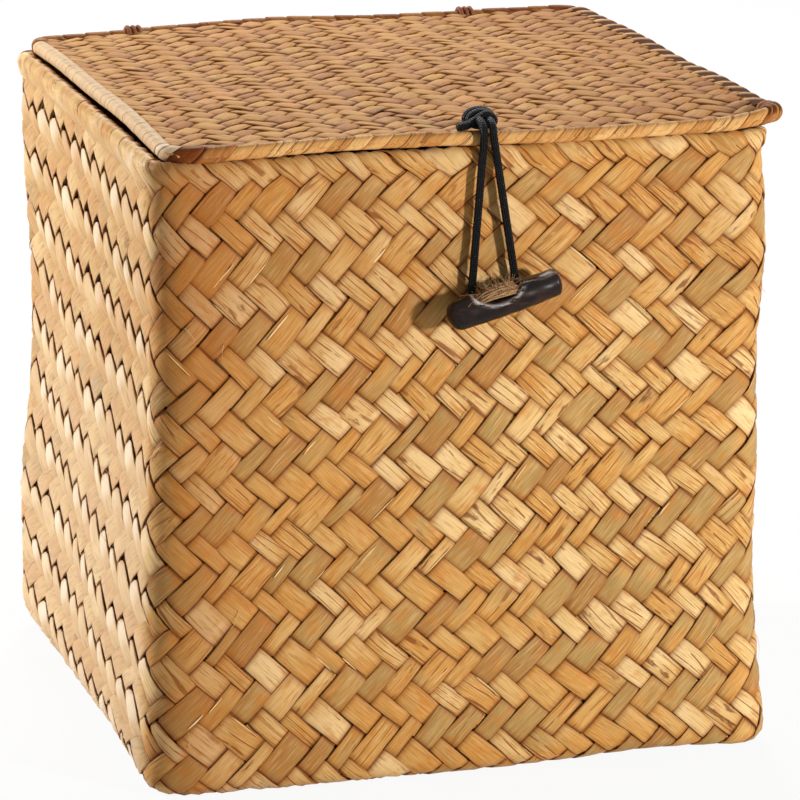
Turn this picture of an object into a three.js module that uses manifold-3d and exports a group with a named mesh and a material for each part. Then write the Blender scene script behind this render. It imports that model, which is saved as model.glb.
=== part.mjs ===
// A woven rush box with a flat hinged lid, closed by an elastic loop that hooks behind a two-hole toggle.
// Millimetres. X runs along the front, the front faces -Y and Z is up.
// The origin is the middle of the base, on the table.
import * as THREE from 'three';
import { mergeVertices } from 'three/addons/utils/BufferGeometryUtils.js';
import Module from 'manifold-3d';

// Woven body, outside sizes at the rim
const boxWidth = 200;
const boxDepth = 206;
const rimHeight = 202;          // table to the middle of the rim wire
const wallThickness = 2.2;      // two crossing layers of strip
const footFlare = 4.5;          // the foot stands out past the rim by this, each side
const waistDraw = 1.8;          // the walls draw in by this half way up
const cornerRadius = 10;
const footRadius = 6;

// Edge bindings and the wires inside them
const wireRadius = 1.2;
const bindingThickness = 1.4;

// Lid
const lidOverhang = 3;          // wider than the box by this, over its binding
const lidShift = 4.6;           // it sits this far to the right of the box
const panelThickness = 2.4;

// Hinge ties, two lashings round the rear rim and the lid's rear edge
const tieRadius = 0.9;
const tieTurns = 3;
const tiePitch = 2.4;
const tieShare = 0.6;           // from tie to tie, as a share of the box's width
const tiePlay = 0.8;            // room below a tie as the lid swings back

// Elastic loop, its knot on the lid's front edge and the stopper under the lid
const elasticRadius = 1.4;
const strandSpacing = 4.4;      // between the two strands at the lid
const knotX = 5.7;
const knotRadius = 4;           // to the middle of the cord
const knotPitch = 3.4;
const knotTurns = 1.62;
const knotSetback = 4.95;       // from the lid wire back to the middle of the knot
const tailReach = 4.4;          // how far the cut end sticks out of the knot
const stopperRadius = 2.6;
const stopperFlatness = 0.8;

// Toggle and the jute tie that holds it on the front wall
const toggleLength = 39;
const toggleRadius = 5.1;
const toggleEndRadius = 4.2;
const toggleEndRound = 2.5;     // rounding of the barrel's ends
const toggleX = 7;              // middle of the tie
const toggleDrop = 45.6;        // rim wire down to the middle of the tie
const toggleOffset = 2.3;       // the barrel's middle lies this far to the right of the tie
const toggleTilt = 15.5;        // degrees, right end up
const toggleRoll = 15;          // degrees, front turned up
const toggleGap = 0.5;          // between the barrel and the strands behind it
const scoopRadius = 13;
const scoopDepth = 2.8;
const scoopRoll = 30;           // degrees, scoop turned up from the holes
const juteRadius = 1.6;
const juteSpacing = 9.6;        // between the tie's two legs
const juteBend = 2.2;           // how far in from a leg the bridge starts
const juteRise = 0.9;           // the bridge lies this far up the scoop
const juteKnotRadius = 2.4;

// Play between pieces that touch or run in each other
const clearance = 0.3;

// Fineness of the facets
const cornerSteps = 6;
const wallSteps = 7;
const footSteps = 3;
const rollSteps = 10;
const loopSteps = 24;           // steps in one turn of a winding
const loopSides = 6;
const cordSides = 8;
const tieSteps = 44;            // steps along the jute tie

// Sizes that follow from the ones above
const degree = Math.PI / 180;
const rimBore = Math.max(wireRadius, wallThickness / 2) + clearance;
const rimRoll = rimBore + bindingThickness;
const lidBore = Math.max(wireRadius, panelThickness / 2) + clearance;
const lidRoll = lidBore + bindingThickness;
const lidHeight = rimHeight + rimRoll + clearance + lidRoll;
const wallTop = rimHeight - wireRadius - clearance;
const edgeRadius = cornerRadius - wallThickness / 2;
const hingeY = (boxDepth - wallThickness) / 2;
const rimHalfWidth = (boxWidth - wallThickness) / 2;
const lidHalfWidth = (boxWidth + lidOverhang) / 2 - lidRoll;
const tieSpacing = tieShare * boxWidth;
const tieWindowWidth = tieTurns * tiePitch + 2 * (tieRadius + clearance);
const tieWindowReach = 2 * (tieRadius + clearance) + tiePlay;
const loopReach = lidRoll + clearance + elasticRadius;
const loopY = -hingeY - loopReach;
const knotFloor = panelThickness / 2 + clearance + elasticRadius;
const toggleHeight = rimHeight - toggleDrop;
const toggleY = loopY - elasticRadius - toggleGap - toggleRadius;
const legX = juteSpacing / 2;

const wasm = await Module();
wasm.setup();

// A closed three.js geometry as a solid that can be joined and cut
function toSolid(geometry) {
  const bare = new THREE.BufferGeometry();
  bare.setAttribute('position', geometry.getAttribute('position'));
  bare.setIndex(geometry.getIndex());
  const merged = mergeVertices(bare, 1e-4);
  return new wasm.Manifold(new wasm.Mesh({
    numProp: 3,
    vertProperties: merged.getAttribute('position').array,
    triVerts: new Uint32Array(merged.getIndex().array),
  }));
}

// The same solid as a geometry
function toGeometry(solid) {
  const mesh = solid.getMesh();
  const geometry = new THREE.BufferGeometry();
  geometry.setAttribute('position', new THREE.BufferAttribute(mesh.vertProperties, 3));
  geometry.setIndex(new THREE.BufferAttribute(mesh.triVerts, 1));
  return geometry;
}

// The room that a cord needs in what it passes through, along Y
function cordHole(radius, length) {
  return new THREE.CylinderGeometry(radius + clearance, radius + clearance, length, 12);
}

function cutAway(geometry, tools) {
  let solid = toSolid(geometry);
  for (const tool of tools) {
    solid = solid.subtract(toSolid(tool));
  }
  return toGeometry(solid);
}

// Points round a rectangle with rounded corners, anticlockwise, each with its outward normal
function roundedLoop(halfX, halfY, radius) {
  const loop = [];
  for (let corner = 0; corner < 4; corner += 1) {
    const signX = corner === 0 || corner === 3 ? 1 : -1;
    const signY = corner < 2 ? 1 : -1;
    for (let step = 0; step <= cornerSteps; step += 1) {
      const angle = (corner + step / cornerSteps) * 90 * degree;
      const normal = new THREE.Vector2(Math.cos(angle), Math.sin(angle));
      const x = signX * (halfX - radius) + radius * normal.x;
      const y = signY * (halfY - radius) + radius * normal.y;
      loop.push({ x, y, normal });
    }
  }
  return loop;
}

// A skin over a row of rings with equal counts: either capped at both ends or joined end to start
function skinOver(rings, joined) {
  const count = rings[0].length;
  const points = rings.flat();
  const faces = [];
  const last = joined ? rings.length : rings.length - 1;
  for (let k = 0; k < last; k += 1) {
    const low = k * count;
    const high = ((k + 1) % rings.length) * count;
    for (let j = 0; j < count; j += 1) {
      const next = (j + 1) % count;
      faces.push(low + j, low + next, high + next, low + j, high + next, high + j);
    }
  }
  if (!joined) {
    const top = (rings.length - 1) * count;
    for (const start of [0, top]) {
      const middle = new THREE.Vector3();
      points.slice(start, start + count).forEach((point) => middle.add(point));
      points.push(middle.divideScalar(count));
      for (let j = 0; j < count; j += 1) {
        const next = (j + 1) % count;
        const turn = start === 0 ? [start + next, start + j] : [start + j, start + next];
        faces.push(points.length - 1, ...turn);
      }
    }
  }
  const geometry = new THREE.BufferGeometry().setFromPoints(points);
  geometry.setIndex(faces);
  return geometry;
}

// A section carried once round a loop: x of the section points outwards, y points up
function carryRound(loop, section) {
  const rings = section.map((spot) => loop.map((at) => new THREE.Vector3(
    at.x + at.normal.x * spot.x,
    at.y + at.normal.y * spot.x,
    spot.y,
  )));
  return skinOver(rings, true);
}

function circlePoints(radius, sides) {
  const points = [];
  for (let k = 0; k < sides; k += 1) {
    const angle = (k / sides) * 360 * degree;
    points.push(new THREE.Vector2(radius * Math.cos(angle), radius * Math.sin(angle)));
  }
  return points;
}

// A round cord along a curve, with flat ends
function cordAlong(curve, radius, sides, steps) {
  const section = new THREE.Shape(circlePoints(radius, sides));
  return new THREE.ExtrudeGeometry(section, { extrudePath: curve, steps, bevelEnabled: false });
}

// Least gap between stretches of one cord that lie more than three diameters apart along it
function printSelfGap(name, curve, radius, steps) {
  const points = curve.getSpacedPoints(steps);
  const apart = Math.ceil((6 * radius) / (curve.getLength() / steps));
  let least = Infinity;
  for (let i = 0; i < points.length; i += 1) {
    for (let j = i + apart; j < points.length; j += 1) {
      least = Math.min(least, points[i].distanceTo(points[j]) - 2 * radius);
    }
  }
  console.log(`${name}: least gap to itself ${least.toFixed(2)} mm`);
}

// Outside half size of the woven body at a height: flared towards the foot, drawn in at the waist
function outerHalf(size, height) {
  const share = height / rimHeight;
  return size / 2 + footFlare * (1 - share) - waistDraw * Math.sin(share * 180 * degree);
}

// From the toggle's axis along a leg of its tie to the knot, which bears on the wall's inside
function tieKnotY() {
  const wallInside = outerHalf(boxDepth, toggleHeight) - wallThickness;
  return (-toggleY - wallInside + clearance + juteKnotRadius) / Math.cos(toggleRoll * degree);
}

function bodyRing(height, inset) {
  const halfX = outerHalf(boxWidth, height) - inset;
  const halfY = outerHalf(boxDepth, height) - inset;
  const loop = roundedLoop(halfX, halfY, Math.max(cornerRadius - inset, clearance));
  return loop.map((at) => new THREE.Vector3(at.x, at.y, height));
}

// Quarter round between base and wall, at an angle from flat (0) to upright (90 degrees)
function footRing(angle, radius, thickness) {
  const height = thickness + radius * (1 - Math.cos(angle));
  return bodyRing(height, thickness + radius * (1 - Math.sin(angle)));
}

// Walls and base in one shell: up the outside, over the top edge and down the inside
function wovenBody(closure) {
  const outside = [];
  const inside = [];
  const innerFoot = Math.max(footRadius - wallThickness, clearance);
  for (let step = 0; step <= footSteps; step += 1) {
    const angle = (step / footSteps) * 90 * degree;
    outside.push(footRing(angle, footRadius, 0));
    inside.push(footRing(angle, innerFoot, wallThickness));
  }
  for (let step = 1; step <= wallSteps; step += 1) {
    const share = step / wallSteps;
    outside.push(bodyRing(footRadius + (wallTop - footRadius) * share, 0));
    const from = wallThickness + innerFoot;
    inside.push(bodyRing(from + (wallTop - from) * share, wallThickness));
  }
  const shell = skinOver([...outside, ...inside.reverse()], false);
  const windowTop = rimHeight - rimRoll + clearance;
  const windowHeight = tieWindowReach + clearance;
  const tools = [-1, 1].map((side) => {
    const window = new THREE.BoxGeometry(tieWindowWidth, 4 * wallThickness, windowHeight);
    return window.translate(side * tieSpacing / 2, hingeY, windowTop - windowHeight / 2);
  });
  const legLength = tieKnotY();
  for (const side of [-1, 1]) {
    const hole = cordHole(juteRadius, legLength).translate(side * legX, toggleRadius + legLength / 2, 0);
    tools.push(hole.applyMatrix4(closure.matrixWorld));
  }
  return cutAway(shell, tools);
}

// Edge binding: a roll of the given radius round a bore, open below for the edge that it holds
function bindingSection(roll, bore) {
  const section = [];
  const lip = Math.sqrt(roll * roll - bore * bore);
  const start = -Math.atan2(lip, bore);
  const sweep = 180 * degree - 2 * start;
  for (let step = 0; step <= rollSteps; step += 1) {
    const angle = start + (sweep * step) / rollSteps;
    section.push(new THREE.Vector2(roll * Math.cos(angle), roll * Math.sin(angle)));
  }
  const boreSteps = rollSteps / 2;
  for (let step = 0; step <= boreSteps; step += 1) {
    const angle = (1 - step / boreSteps) * 180 * degree;
    section.push(new THREE.Vector2(bore * Math.cos(angle), bore * Math.sin(angle)));
  }
  return section;
}

function rimBinding() {
  return carryRound(roundedLoop(rimHalfWidth, hingeY, edgeRadius), bindingSection(rimRoll, rimBore));
}

// A bare wire ring, from the half width of its middle line
function edgeWire(halfWidth) {
  return carryRound(roundedLoop(halfWidth, hingeY, edgeRadius), circlePoints(wireRadius, cordSides));
}

// The lid's binding opens inwards, so its section is turned a quarter
function lidBinding() {
  const section = bindingSection(lidRoll, lidBore).map((spot) => new THREE.Vector2(spot.y, -spot.x));
  return carryRound(roundedLoop(lidHalfWidth, hingeY, edgeRadius), section);
}

// Flat woven sheet with a gap beside the rear edge for each hinge tie and a hole for the elastic
function lidPanel() {
  const inset = wireRadius + clearance;
  const loop = roundedLoop(lidHalfWidth - inset, hingeY - inset, Math.max(edgeRadius - inset, clearance));
  const levels = [-1, 1].map((side) => side * panelThickness / 2);
  const sheet = skinOver(levels.map((z) => loop.map((at) => new THREE.Vector3(at.x, at.y, z))), false);
  const windowReach = tieWindowReach + clearance;
  const windowY = hingeY - lidRoll + clearance - windowReach / 2;
  const tools = [-1, 1].map((side) => {
    const window = new THREE.BoxGeometry(tieWindowWidth, windowReach, 2 * panelThickness);
    return window.translate(side * tieSpacing / 2 - lidShift, windowY, 0);
  });
  const hole = cordHole(elasticRadius, 2 * panelThickness).rotateX(90 * degree);
  tools.push(hole.translate(knotX - lidShift, -hingeY + knotSetback + knotRadius, 0));
  return cutAway(sheet, tools);
}

// Lashing round two parallel edges: down the inside, under the rim, up the outside, over the lid's edge.
// Its own origin is the rim wire.
class HingeLashing extends THREE.Curve {
  getPoint(t, target = new THREE.Vector3()) {
    const low = rimRoll + clearance + tieRadius;
    const high = lidRoll + clearance + tieRadius;
    const rise = lidHeight - rimHeight;
    const round = Math.PI * (low + high) + 2 * rise;
    const x = (t - 0.5) * tieTurns * tiePitch;
    let along = ((t * tieTurns) % 1) * round;
    if (along < rise) {
      const share = along / rise;
      return target.set(x, -high + (high - low) * share, rise * (1 - share));
    }
    along -= rise;
    if (along < Math.PI * low) {
      const angle = along / low;
      return target.set(x, -low * Math.cos(angle), -low * Math.sin(angle));
    }
    along -= Math.PI * low;
    if (along < rise) {
      const share = along / rise;
      return target.set(x, low + (high - low) * share, rise * share);
    }
    const angle = (along - rise) / high;
    return target.set(x, high * Math.cos(angle), rise + high * Math.sin(angle));
  }
}

function hingeTie(name) {
  const steps = tieTurns * loopSteps;
  const lashing = new HingeLashing();
  printSelfGap(name, lashing, tieRadius, steps);
  return cordAlong(lashing, tieRadius, loopSides, steps);
}

// Knot on the lid: the cord comes up through the lid, winds into a ring and ends in a short tail.
// Its own origin is the lid wire at the front.
function loopKnot(name) {
  const points = [
    new THREE.Vector3(0, knotSetback + knotRadius, -panelThickness / 2),
    new THREE.Vector3(0, knotSetback + knotRadius, panelThickness / 4),
  ];
  const turnStart = 1.5 / loopSteps;
  const spots = Math.round((knotTurns - turnStart) * loopSteps);
  for (let spot = 0; spot <= spots; spot += 1) {
    const turn = turnStart + ((knotTurns - turnStart) * spot) / spots;
    const angle = (0.25 - turn) * 360 * degree;
    const x = knotRadius * Math.cos(angle);
    const y = knotSetback + knotRadius * Math.sin(angle);
    points.push(new THREE.Vector3(x, y, knotFloor + knotPitch * turn));
  }
  const end = points[points.length - 1];
  const out = knotRadius + elasticRadius;
  const lift = clearance + elasticRadius / 2;
  points.push(new THREE.Vector3(-out, end.y + elasticRadius / 2, end.z + lift));
  points.push(new THREE.Vector3(-out - tailReach / 2, end.y + elasticRadius / 4, end.z + lift / 2));
  points.push(new THREE.Vector3(-out - tailReach, end.y - elasticRadius / 4, end.z - elasticRadius));
  const curve = new THREE.CatmullRomCurve3(points);
  const steps = Math.round((knotTurns + 0.5) * loopSteps);
  printSelfGap(name, curve, elasticRadius, 2 * steps);
  return cordAlong(curve, elasticRadius, loopSides, steps);
}

// Elastic loop: over the lid's front edge, down both sides of the tie and under its two legs
function elasticLoop(closure) {
  const overEdge = [12, 36, 62, 90];            // degrees from the top of the edge
  const downStrand = [0.25, 0.5, 0.75, 0.92];   // shares of the way to the tie
  const leg = new THREE.Vector3(0, (loopY - toggleY) / Math.cos(toggleRoll * degree), 0);
  const seat = leg.applyMatrix4(closure.matrixWorld);
  const across = new THREE.Vector3(1, 0, 0).transformDirection(closure.matrixWorld);
  const upwards = new THREE.Vector3(-across.z, 0, across.x);
  const round = juteRadius / Math.cos(toggleRoll * degree) + clearance + elasticRadius;
  const strand = (side) => {
    const points = overEdge.map((angle) => new THREE.Vector3(
      knotX + side * strandSpacing / 2,
      -hingeY - loopReach * Math.sin(angle * degree),
      lidHeight + loopReach * Math.cos(angle * degree),
    ));
    const above = points[points.length - 1];
    const beside = seat.clone().addScaledVector(across, side * (legX + round));
    for (const share of downStrand) {
      points.push(above.clone().lerp(beside, share));
    }
    points.push(beside);
    for (const angle of [45, 90]) {
      const spot = seat.clone();
      spot.addScaledVector(across, side * (legX + round * Math.cos(angle * degree)));
      spot.addScaledVector(upwards, -round * Math.sin(angle * degree));
      points.push(spot);
    }
    return points;
  };
  const curve = new THREE.CatmullRomCurve3([...strand(-1), ...strand(1).reverse()]);
  const steps = Math.round(curve.getLength() / (2 * elasticRadius));
  console.log(`elastic_loop: ${curve.getLength().toFixed(0)} mm of cord`);
  return cordAlong(curve, elasticRadius, cordSides, steps);
}

function loopStopper() {
  return new THREE.SphereGeometry(stopperRadius, 12, 8).rotateX(90 * degree).scale(1, 1, stopperFlatness);
}

// Turned barrel with rounded ends, scooped between its two holes
function toggleBarrel() {
  const half = toggleLength / 2;
  const round = toggleEndRound;
  const through = 4 * toggleRadius;
  const profile = new THREE.Path();
  profile.moveTo(0, -half);
  profile.lineTo(toggleEndRadius - round, -half);
  profile.quadraticCurveTo(toggleEndRadius, -half, toggleEndRadius, round - half);
  profile.quadraticCurveTo(toggleRadius, round - half / 2, toggleRadius, 0);
  profile.quadraticCurveTo(toggleRadius, half / 2 - round, toggleEndRadius, half - round);
  profile.quadraticCurveTo(toggleEndRadius, half, toggleEndRadius - round, half);
  profile.lineTo(0, half);
  const barrel = new THREE.LatheGeometry(profile.getPoints(4), 16);
  barrel.rotateZ(-90 * degree).translate(toggleOffset, 0, 0);
  const scoop = new THREE.CylinderGeometry(scoopRadius, scoopRadius, through, 40);
  scoop.rotateX(90 * degree).translate(0, scoopDepth - toggleRadius - scoopRadius, 0);
  scoop.rotateX(-scoopRoll * degree);
  const holes = [-1, 1].map((side) => cordHole(juteRadius, through).translate(side * legX, 0, 0));
  return cutAway(barrel, [scoop, ...holes]);
}

// Jute tie: one cord from its knot inside the wall, out through the barrel, across the scoop and back
function toggleTie() {
  const knotY = tieKnotY();
  const bridgeY = -(toggleRadius - scoopDepth + clearance + juteRadius) / Math.cos(scoopRoll * degree / 2);
  const leg = (side) => {
    const points = [];
    for (const share of [1, 0.75, 0.5, 0.25, 0]) {
      points.push(new THREE.Vector3(side * legX, knotY * share, 0));
    }
    points.push(new THREE.Vector3(side * legX, bridgeY + juteRadius + clearance, 0));
    points.push(new THREE.Vector3(side * (legX - juteBend / 3), bridgeY - clearance, juteRise / 2));
    points.push(new THREE.Vector3(side * (legX - juteBend), bridgeY - 2 * clearance, juteRise));
    return points;
  };
  const curve = new THREE.CatmullRomCurve3([...leg(-1), ...leg(1).reverse()]);
  const cord = cordAlong(curve, juteRadius, cordSides, tieSteps);
  const knot = new THREE.CapsuleGeometry(juteKnotRadius, juteSpacing, 4, 12);
  knot.rotateZ(90 * degree).translate(0, knotY, 0);
  return toGeometry(toSolid(cord).add(toSolid(knot)));
}

// Looks
const rush = { color: 0xc48f4f, roughness: 0.6, metalness: 0 };
const rushEdge = { color: 0xb9833f, roughness: 0.55, metalness: 0 };
const steel = { color: 0x8d8f92, roughness: 0.45, metalness: 0.9 };
const jute = { color: 0xb5946b, roughness: 0.9, metalness: 0 };
const elastic = { color: 0x17181a, roughness: 0.7, metalness: 0 };
const darkWood = { color: 0x2d1d18, roughness: 0.25, metalness: 0 };

const box = new THREE.Group();

function addPiece(name, geometry, look, parent = box) {
  const piece = new THREE.Mesh(geometry, new THREE.MeshStandardMaterial(look));
  piece.name = name;
  parent.add(piece);
  return piece;
}

// The toggle and its tie share a frame turned with the barrel
const closure = new THREE.Group();
closure.position.set(toggleX, toggleY, toggleHeight);
closure.rotation.set(-toggleRoll * degree, -toggleTilt * degree, 0, 'YXZ');
box.add(closure);
box.updateMatrixWorld(true);

const lid = new THREE.Group();
lid.position.set(lidShift, 0, lidHeight);
box.add(lid);

addPiece('woven_body', wovenBody(closure), rush);
addPiece('rim_binding', rimBinding(), rushEdge).position.z = rimHeight;
addPiece('rim_wire', edgeWire(rimHalfWidth), steel).position.z = rimHeight;
addPiece('toggle_tie', toggleTie(), jute, closure);
addPiece('toggle', toggleBarrel(), darkWood, closure);

addPiece('lid_panel', lidPanel(), rush, lid);
addPiece('lid_binding', lidBinding(), rushEdge, lid);
addPiece('lid_wire', edgeWire(lidHalfWidth), steel, lid);
for (const [name, side] of [['hinge_tie_left', -1], ['hinge_tie_right', 1]]) {
  addPiece(name, hingeTie(name), jute).position.set(side * tieSpacing / 2, hingeY, rimHeight);
}
addPiece('loop_knot', loopKnot('loop_knot'), elastic).position.set(knotX, -hingeY, lidHeight);
addPiece('loop_stopper', loopStopper(), elastic).position.set(
  knotX,
  -hingeY + knotSetback + knotRadius,
  lidHeight - panelThickness / 2 - clearance - stopperRadius * stopperFlatness,
);
addPiece('elastic_loop', elasticLoop(closure), elastic);

export default box;
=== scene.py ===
import bpy
import numpy as np
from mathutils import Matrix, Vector


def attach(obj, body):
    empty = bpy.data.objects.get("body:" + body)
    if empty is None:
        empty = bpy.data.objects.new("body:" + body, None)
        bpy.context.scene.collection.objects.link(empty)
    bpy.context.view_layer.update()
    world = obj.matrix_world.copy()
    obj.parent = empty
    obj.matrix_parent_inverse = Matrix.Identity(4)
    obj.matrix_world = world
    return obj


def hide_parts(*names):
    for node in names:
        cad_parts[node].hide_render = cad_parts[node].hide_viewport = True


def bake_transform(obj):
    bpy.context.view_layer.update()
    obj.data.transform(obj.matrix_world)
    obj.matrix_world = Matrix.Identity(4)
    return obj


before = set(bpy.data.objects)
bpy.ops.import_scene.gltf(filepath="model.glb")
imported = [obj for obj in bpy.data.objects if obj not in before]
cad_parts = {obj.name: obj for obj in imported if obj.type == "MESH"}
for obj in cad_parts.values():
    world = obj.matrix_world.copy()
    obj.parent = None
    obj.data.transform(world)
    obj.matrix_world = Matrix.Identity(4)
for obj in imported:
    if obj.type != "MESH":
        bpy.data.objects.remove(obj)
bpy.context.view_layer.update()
print("frame loaded:", len(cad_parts), "solids")

mm = 0.001  # all sizes below are in millimetres
dice = np.random.default_rng(27)

# camera, where the photograph was taken from
photoView = {
    "place": (-409.58, -1450.37, 473.41),
    "aim": (0.26823, 0.93235, -0.2416),
    "lens": 208.4,
    "sensor": 36,
}


def show(thing):
    bpy.context.scene.collection.objects.link(thing)


def addCamera(cfg):
    data = bpy.data.cameras.new("photoCamera")
    data.lens = cfg["lens"]
    data.sensor_width = cfg["sensor"]
    data.clip_start = 0.1
    data.clip_end = 20
    camera = bpy.data.objects.new("photoCamera", data)
    camera.location = Vector(cfg["place"]) * mm
    camera.rotation_euler = Vector(cfg["aim"]).to_track_quat("-Z", "Y").to_euler()
    show(camera)
    bpy.context.scene.camera = camera


addCamera(photoView)
bpy.context.scene.view_settings.view_transform = "Standard"
print("camera set")


# Soft step: 0 up to low, 1 from high, an S curve between
def ease(low, high, x):
    t = np.clip((x - low) / (high - low), 0, 1)
    return t * t * (3 - 2 * t)


# A soft hump of height 1 at a place, as wide as spread
def hump(x, place, spread):
    return np.exp(-(((x - place) / spread) ** 2))


def unit(v):
    return v / np.linalg.norm(v, axis=-1, keepdims=True)


# Points from their three coordinates
def xyz(x, y, z):
    return np.stack(np.broadcast_arrays(x, y, z), -1)


# Length along a path up to each of its points
def pathLength(paths):
    step = np.linalg.norm(np.diff(paths, axis=-2), axis=-1)
    return np.concatenate([np.zeros_like(step[..., :1]), np.cumsum(step, -1)], -1)


# Smooth path through a few points: cubic pieces, then points at even steps along its length
def smoothPath(spots, count):
    p = np.asarray(spots, float)
    p = np.vstack([2 * p[0] - p[1], p, 2 * p[-1] - p[-2]])
    pieces = len(p) - 3
    t = np.linspace(0, pieces, pieces * 24 + 1)
    i = np.minimum(t.astype(int), pieces - 1)
    f = (t - i)[:, None]
    a, b, c, d = p[i], p[i + 1], p[i + 2], p[i + 3]
    square, cube = 2 * a - 5 * b + 4 * c - d, 3 * b - a - 3 * c + d
    curve = 0.5 * (2 * b + (c - a) * f + square * f**2 + cube * f**3)
    run = pathLength(curve)
    at = np.linspace(0, run[-1], count)
    return np.stack([np.interp(at, run, curve[:, k]) for k in range(3)], 1)


# Ring carried along a path: each ring stands square to the path, its zero angle set by a guide direction.
# paths is (..., sections, 3) and radius broadcasts to (..., sections, around)
def sweep(paths, guide, radius, around):
    tangent = unit(np.gradient(paths, axis=-2))
    side = unit(np.cross(np.broadcast_to(guide, paths.shape), tangent))
    up = np.cross(tangent, side)
    angle = np.arange(around) * 2 * np.pi / around
    ring = np.cos(angle)[:, None] * side[..., None, :] + np.sin(angle)[:, None] * up[..., None, :]
    points = paths[..., None, :] + np.broadcast_to(radius, ring.shape[:-1])[..., None] * ring
    return points, {"place": xyz(np.cos(angle), np.sin(angle), pathLength(paths)[..., None])}


# Faces over (count, sections, around) points: quads between the rings and quads across both ends
def ringFaces(count, sections, around):
    i, j = np.meshgrid(np.arange(sections - 1), np.arange(around), indexing="ij")
    k = (j + 1) % around
    low, high = i * around, (i + 1) * around
    skin = np.stack([low + j, low + k, high + k, high + j], -1).reshape(-1, 4)
    e = np.arange(around // 2 - 1)
    cap = np.stack([e, around - 1 - e, around - 2 - e, e + 1], -1)
    one = np.concatenate([skin, cap, cap[:, ::-1] + (sections - 1) * around])
    return (one[None] + (np.arange(count) * sections * around)[:, None, None]).reshape(-1, 4)


# A piece from rings of points, with named values on its points. It rides on a body; given a bend, it rides
# on none and its place is baked into its points, and the bend's bodies and points are not used further
def addPiece(name, points, marks, material, body, stands=(), bend=None):
    sets = points.reshape((-1,) + points.shape[-3:])
    spots = sets.reshape(-1, 3)
    faces = ringFaces(*sets.shape[:3])
    a, b, c, d = (spots[faces[:, k]] for k in range(4))
    if np.einsum("ij,ij->", a, np.cross(b, c) + np.cross(c, d)) < 0:  # turned inside out
        faces = faces[:, ::-1]
    mesh = bpy.data.meshes.new(name)
    mesh.vertices.add(len(spots))
    mesh.vertices.foreach_set("co", (spots * mm).astype(np.float32).ravel())
    mesh.loops.add(faces.size)
    mesh.loops.foreach_set("vertex_index", np.ascontiguousarray(faces, np.int32).ravel())
    mesh.polygons.add(len(faces))
    mesh.polygons.foreach_set("loop_start", np.arange(0, faces.size, 4, dtype=np.int32))
    mesh.update(calc_edges=True)
    mesh.shade_smooth()
    for key, value in marks.items():
        wide = value.ndim == points.ndim
        layer = mesh.attributes.new(key, "FLOAT_VECTOR" if wide else "FLOAT", "POINT")
        layer.data.foreach_set("vector" if wide else "value", value.astype(np.float32).ravel())
    mesh.materials.append(material)
    piece = bpy.data.objects.new(name, mesh)
    show(piece)
    if bend:
        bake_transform(piece)
    else:
        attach(piece, body)
    if stands:
        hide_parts(*stands)


# A shader socket that takes part in sums; node() adds any other kind of node
class Wire:
    def __init__(self, tree, made=None, out=0):
        self.tree = tree
        self.made = made
        self.out = out

    def node(self, kind, values=None, settings=None, out=0):
        made = self.tree.nodes.new("ShaderNode" + kind)
        for key, value in (settings or {}).items():
            if key == "stops":
                elements = made.color_ramp.elements
                while len(elements) < len(value):
                    elements.new(1)
                for element, (place, colour) in zip(elements, value):
                    element.position = place
                    element.color = colour
            else:
                setattr(made, key, value)
        for key, value in (values or {}).items():
            if isinstance(value, Wire):
                self.tree.links.new(value.made.outputs[value.out], made.inputs[key])
            else:
                made.inputs[key].default_value = value
        return Wire(self.tree, made, out)

    def pick(self, out):
        return Wire(self.tree, self.made, out)

    def sums(self, operation, first, second):
        return self.node("Math", {0: first, 1: second}, {"operation": operation})

    def __add__(self, other):
        return self.sums("ADD", self, other)

    __radd__ = __add__

    def __sub__(self, other):
        return self.sums("SUBTRACT", self, other)

    def __rsub__(self, other):
        return self.sums("SUBTRACT", other, self)

    def __mul__(self, other):
        return self.sums("MULTIPLY", self, other)

    __rmul__ = __mul__

    def __abs__(self):
        return self.sums("ABSOLUTE", self, 0.0)


# A colour as read off a screen, 0 to 255, in linear light
def tint(red, green, blue):
    c = np.array([red, green, blue]) / 255
    c = np.where(c <= 0.04045, c / 12.92, ((c + 0.055) / 1.055) ** 2.4)
    return (*c.tolist(), 1.0)


def softStep(x, low, high):
    values = {"Value": x, "From Min": low, "From Max": high}
    return x.node("MapRange", values, {"interpolation_type": "SMOOTHSTEP"})


def colourMix(share, first, second):
    return share.node("Mix", {0: share, 6: first, 7: second}, {"data_type": "RGBA"}, 2)


# A named value on the points of a piece
def mark(start, name, out="Vector"):
    return start.node("Attribute", None, {"attribute_name": name}, out)


def noise(start, spot, scale, detail, rough=0.5):
    values = {"Vector": spot, "Scale": scale, "Detail": detail, "Roughness": rough}
    return start.node("TexNoise", values)


def bumps(start, height, strength, depth=0.0004):
    return start.node("Bump", {"Strength": strength, "Distance": depth, "Height": height})


def newMaterial(name):
    material = bpy.data.materials.new(name)
    material.use_nodes = True
    material.node_tree.nodes.clear()
    return material, Wire(material.node_tree)


def closeMaterial(start, values):
    start.node("OutputMaterial", {"Surface": start.node("BsdfPrincipled", values)})
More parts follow.
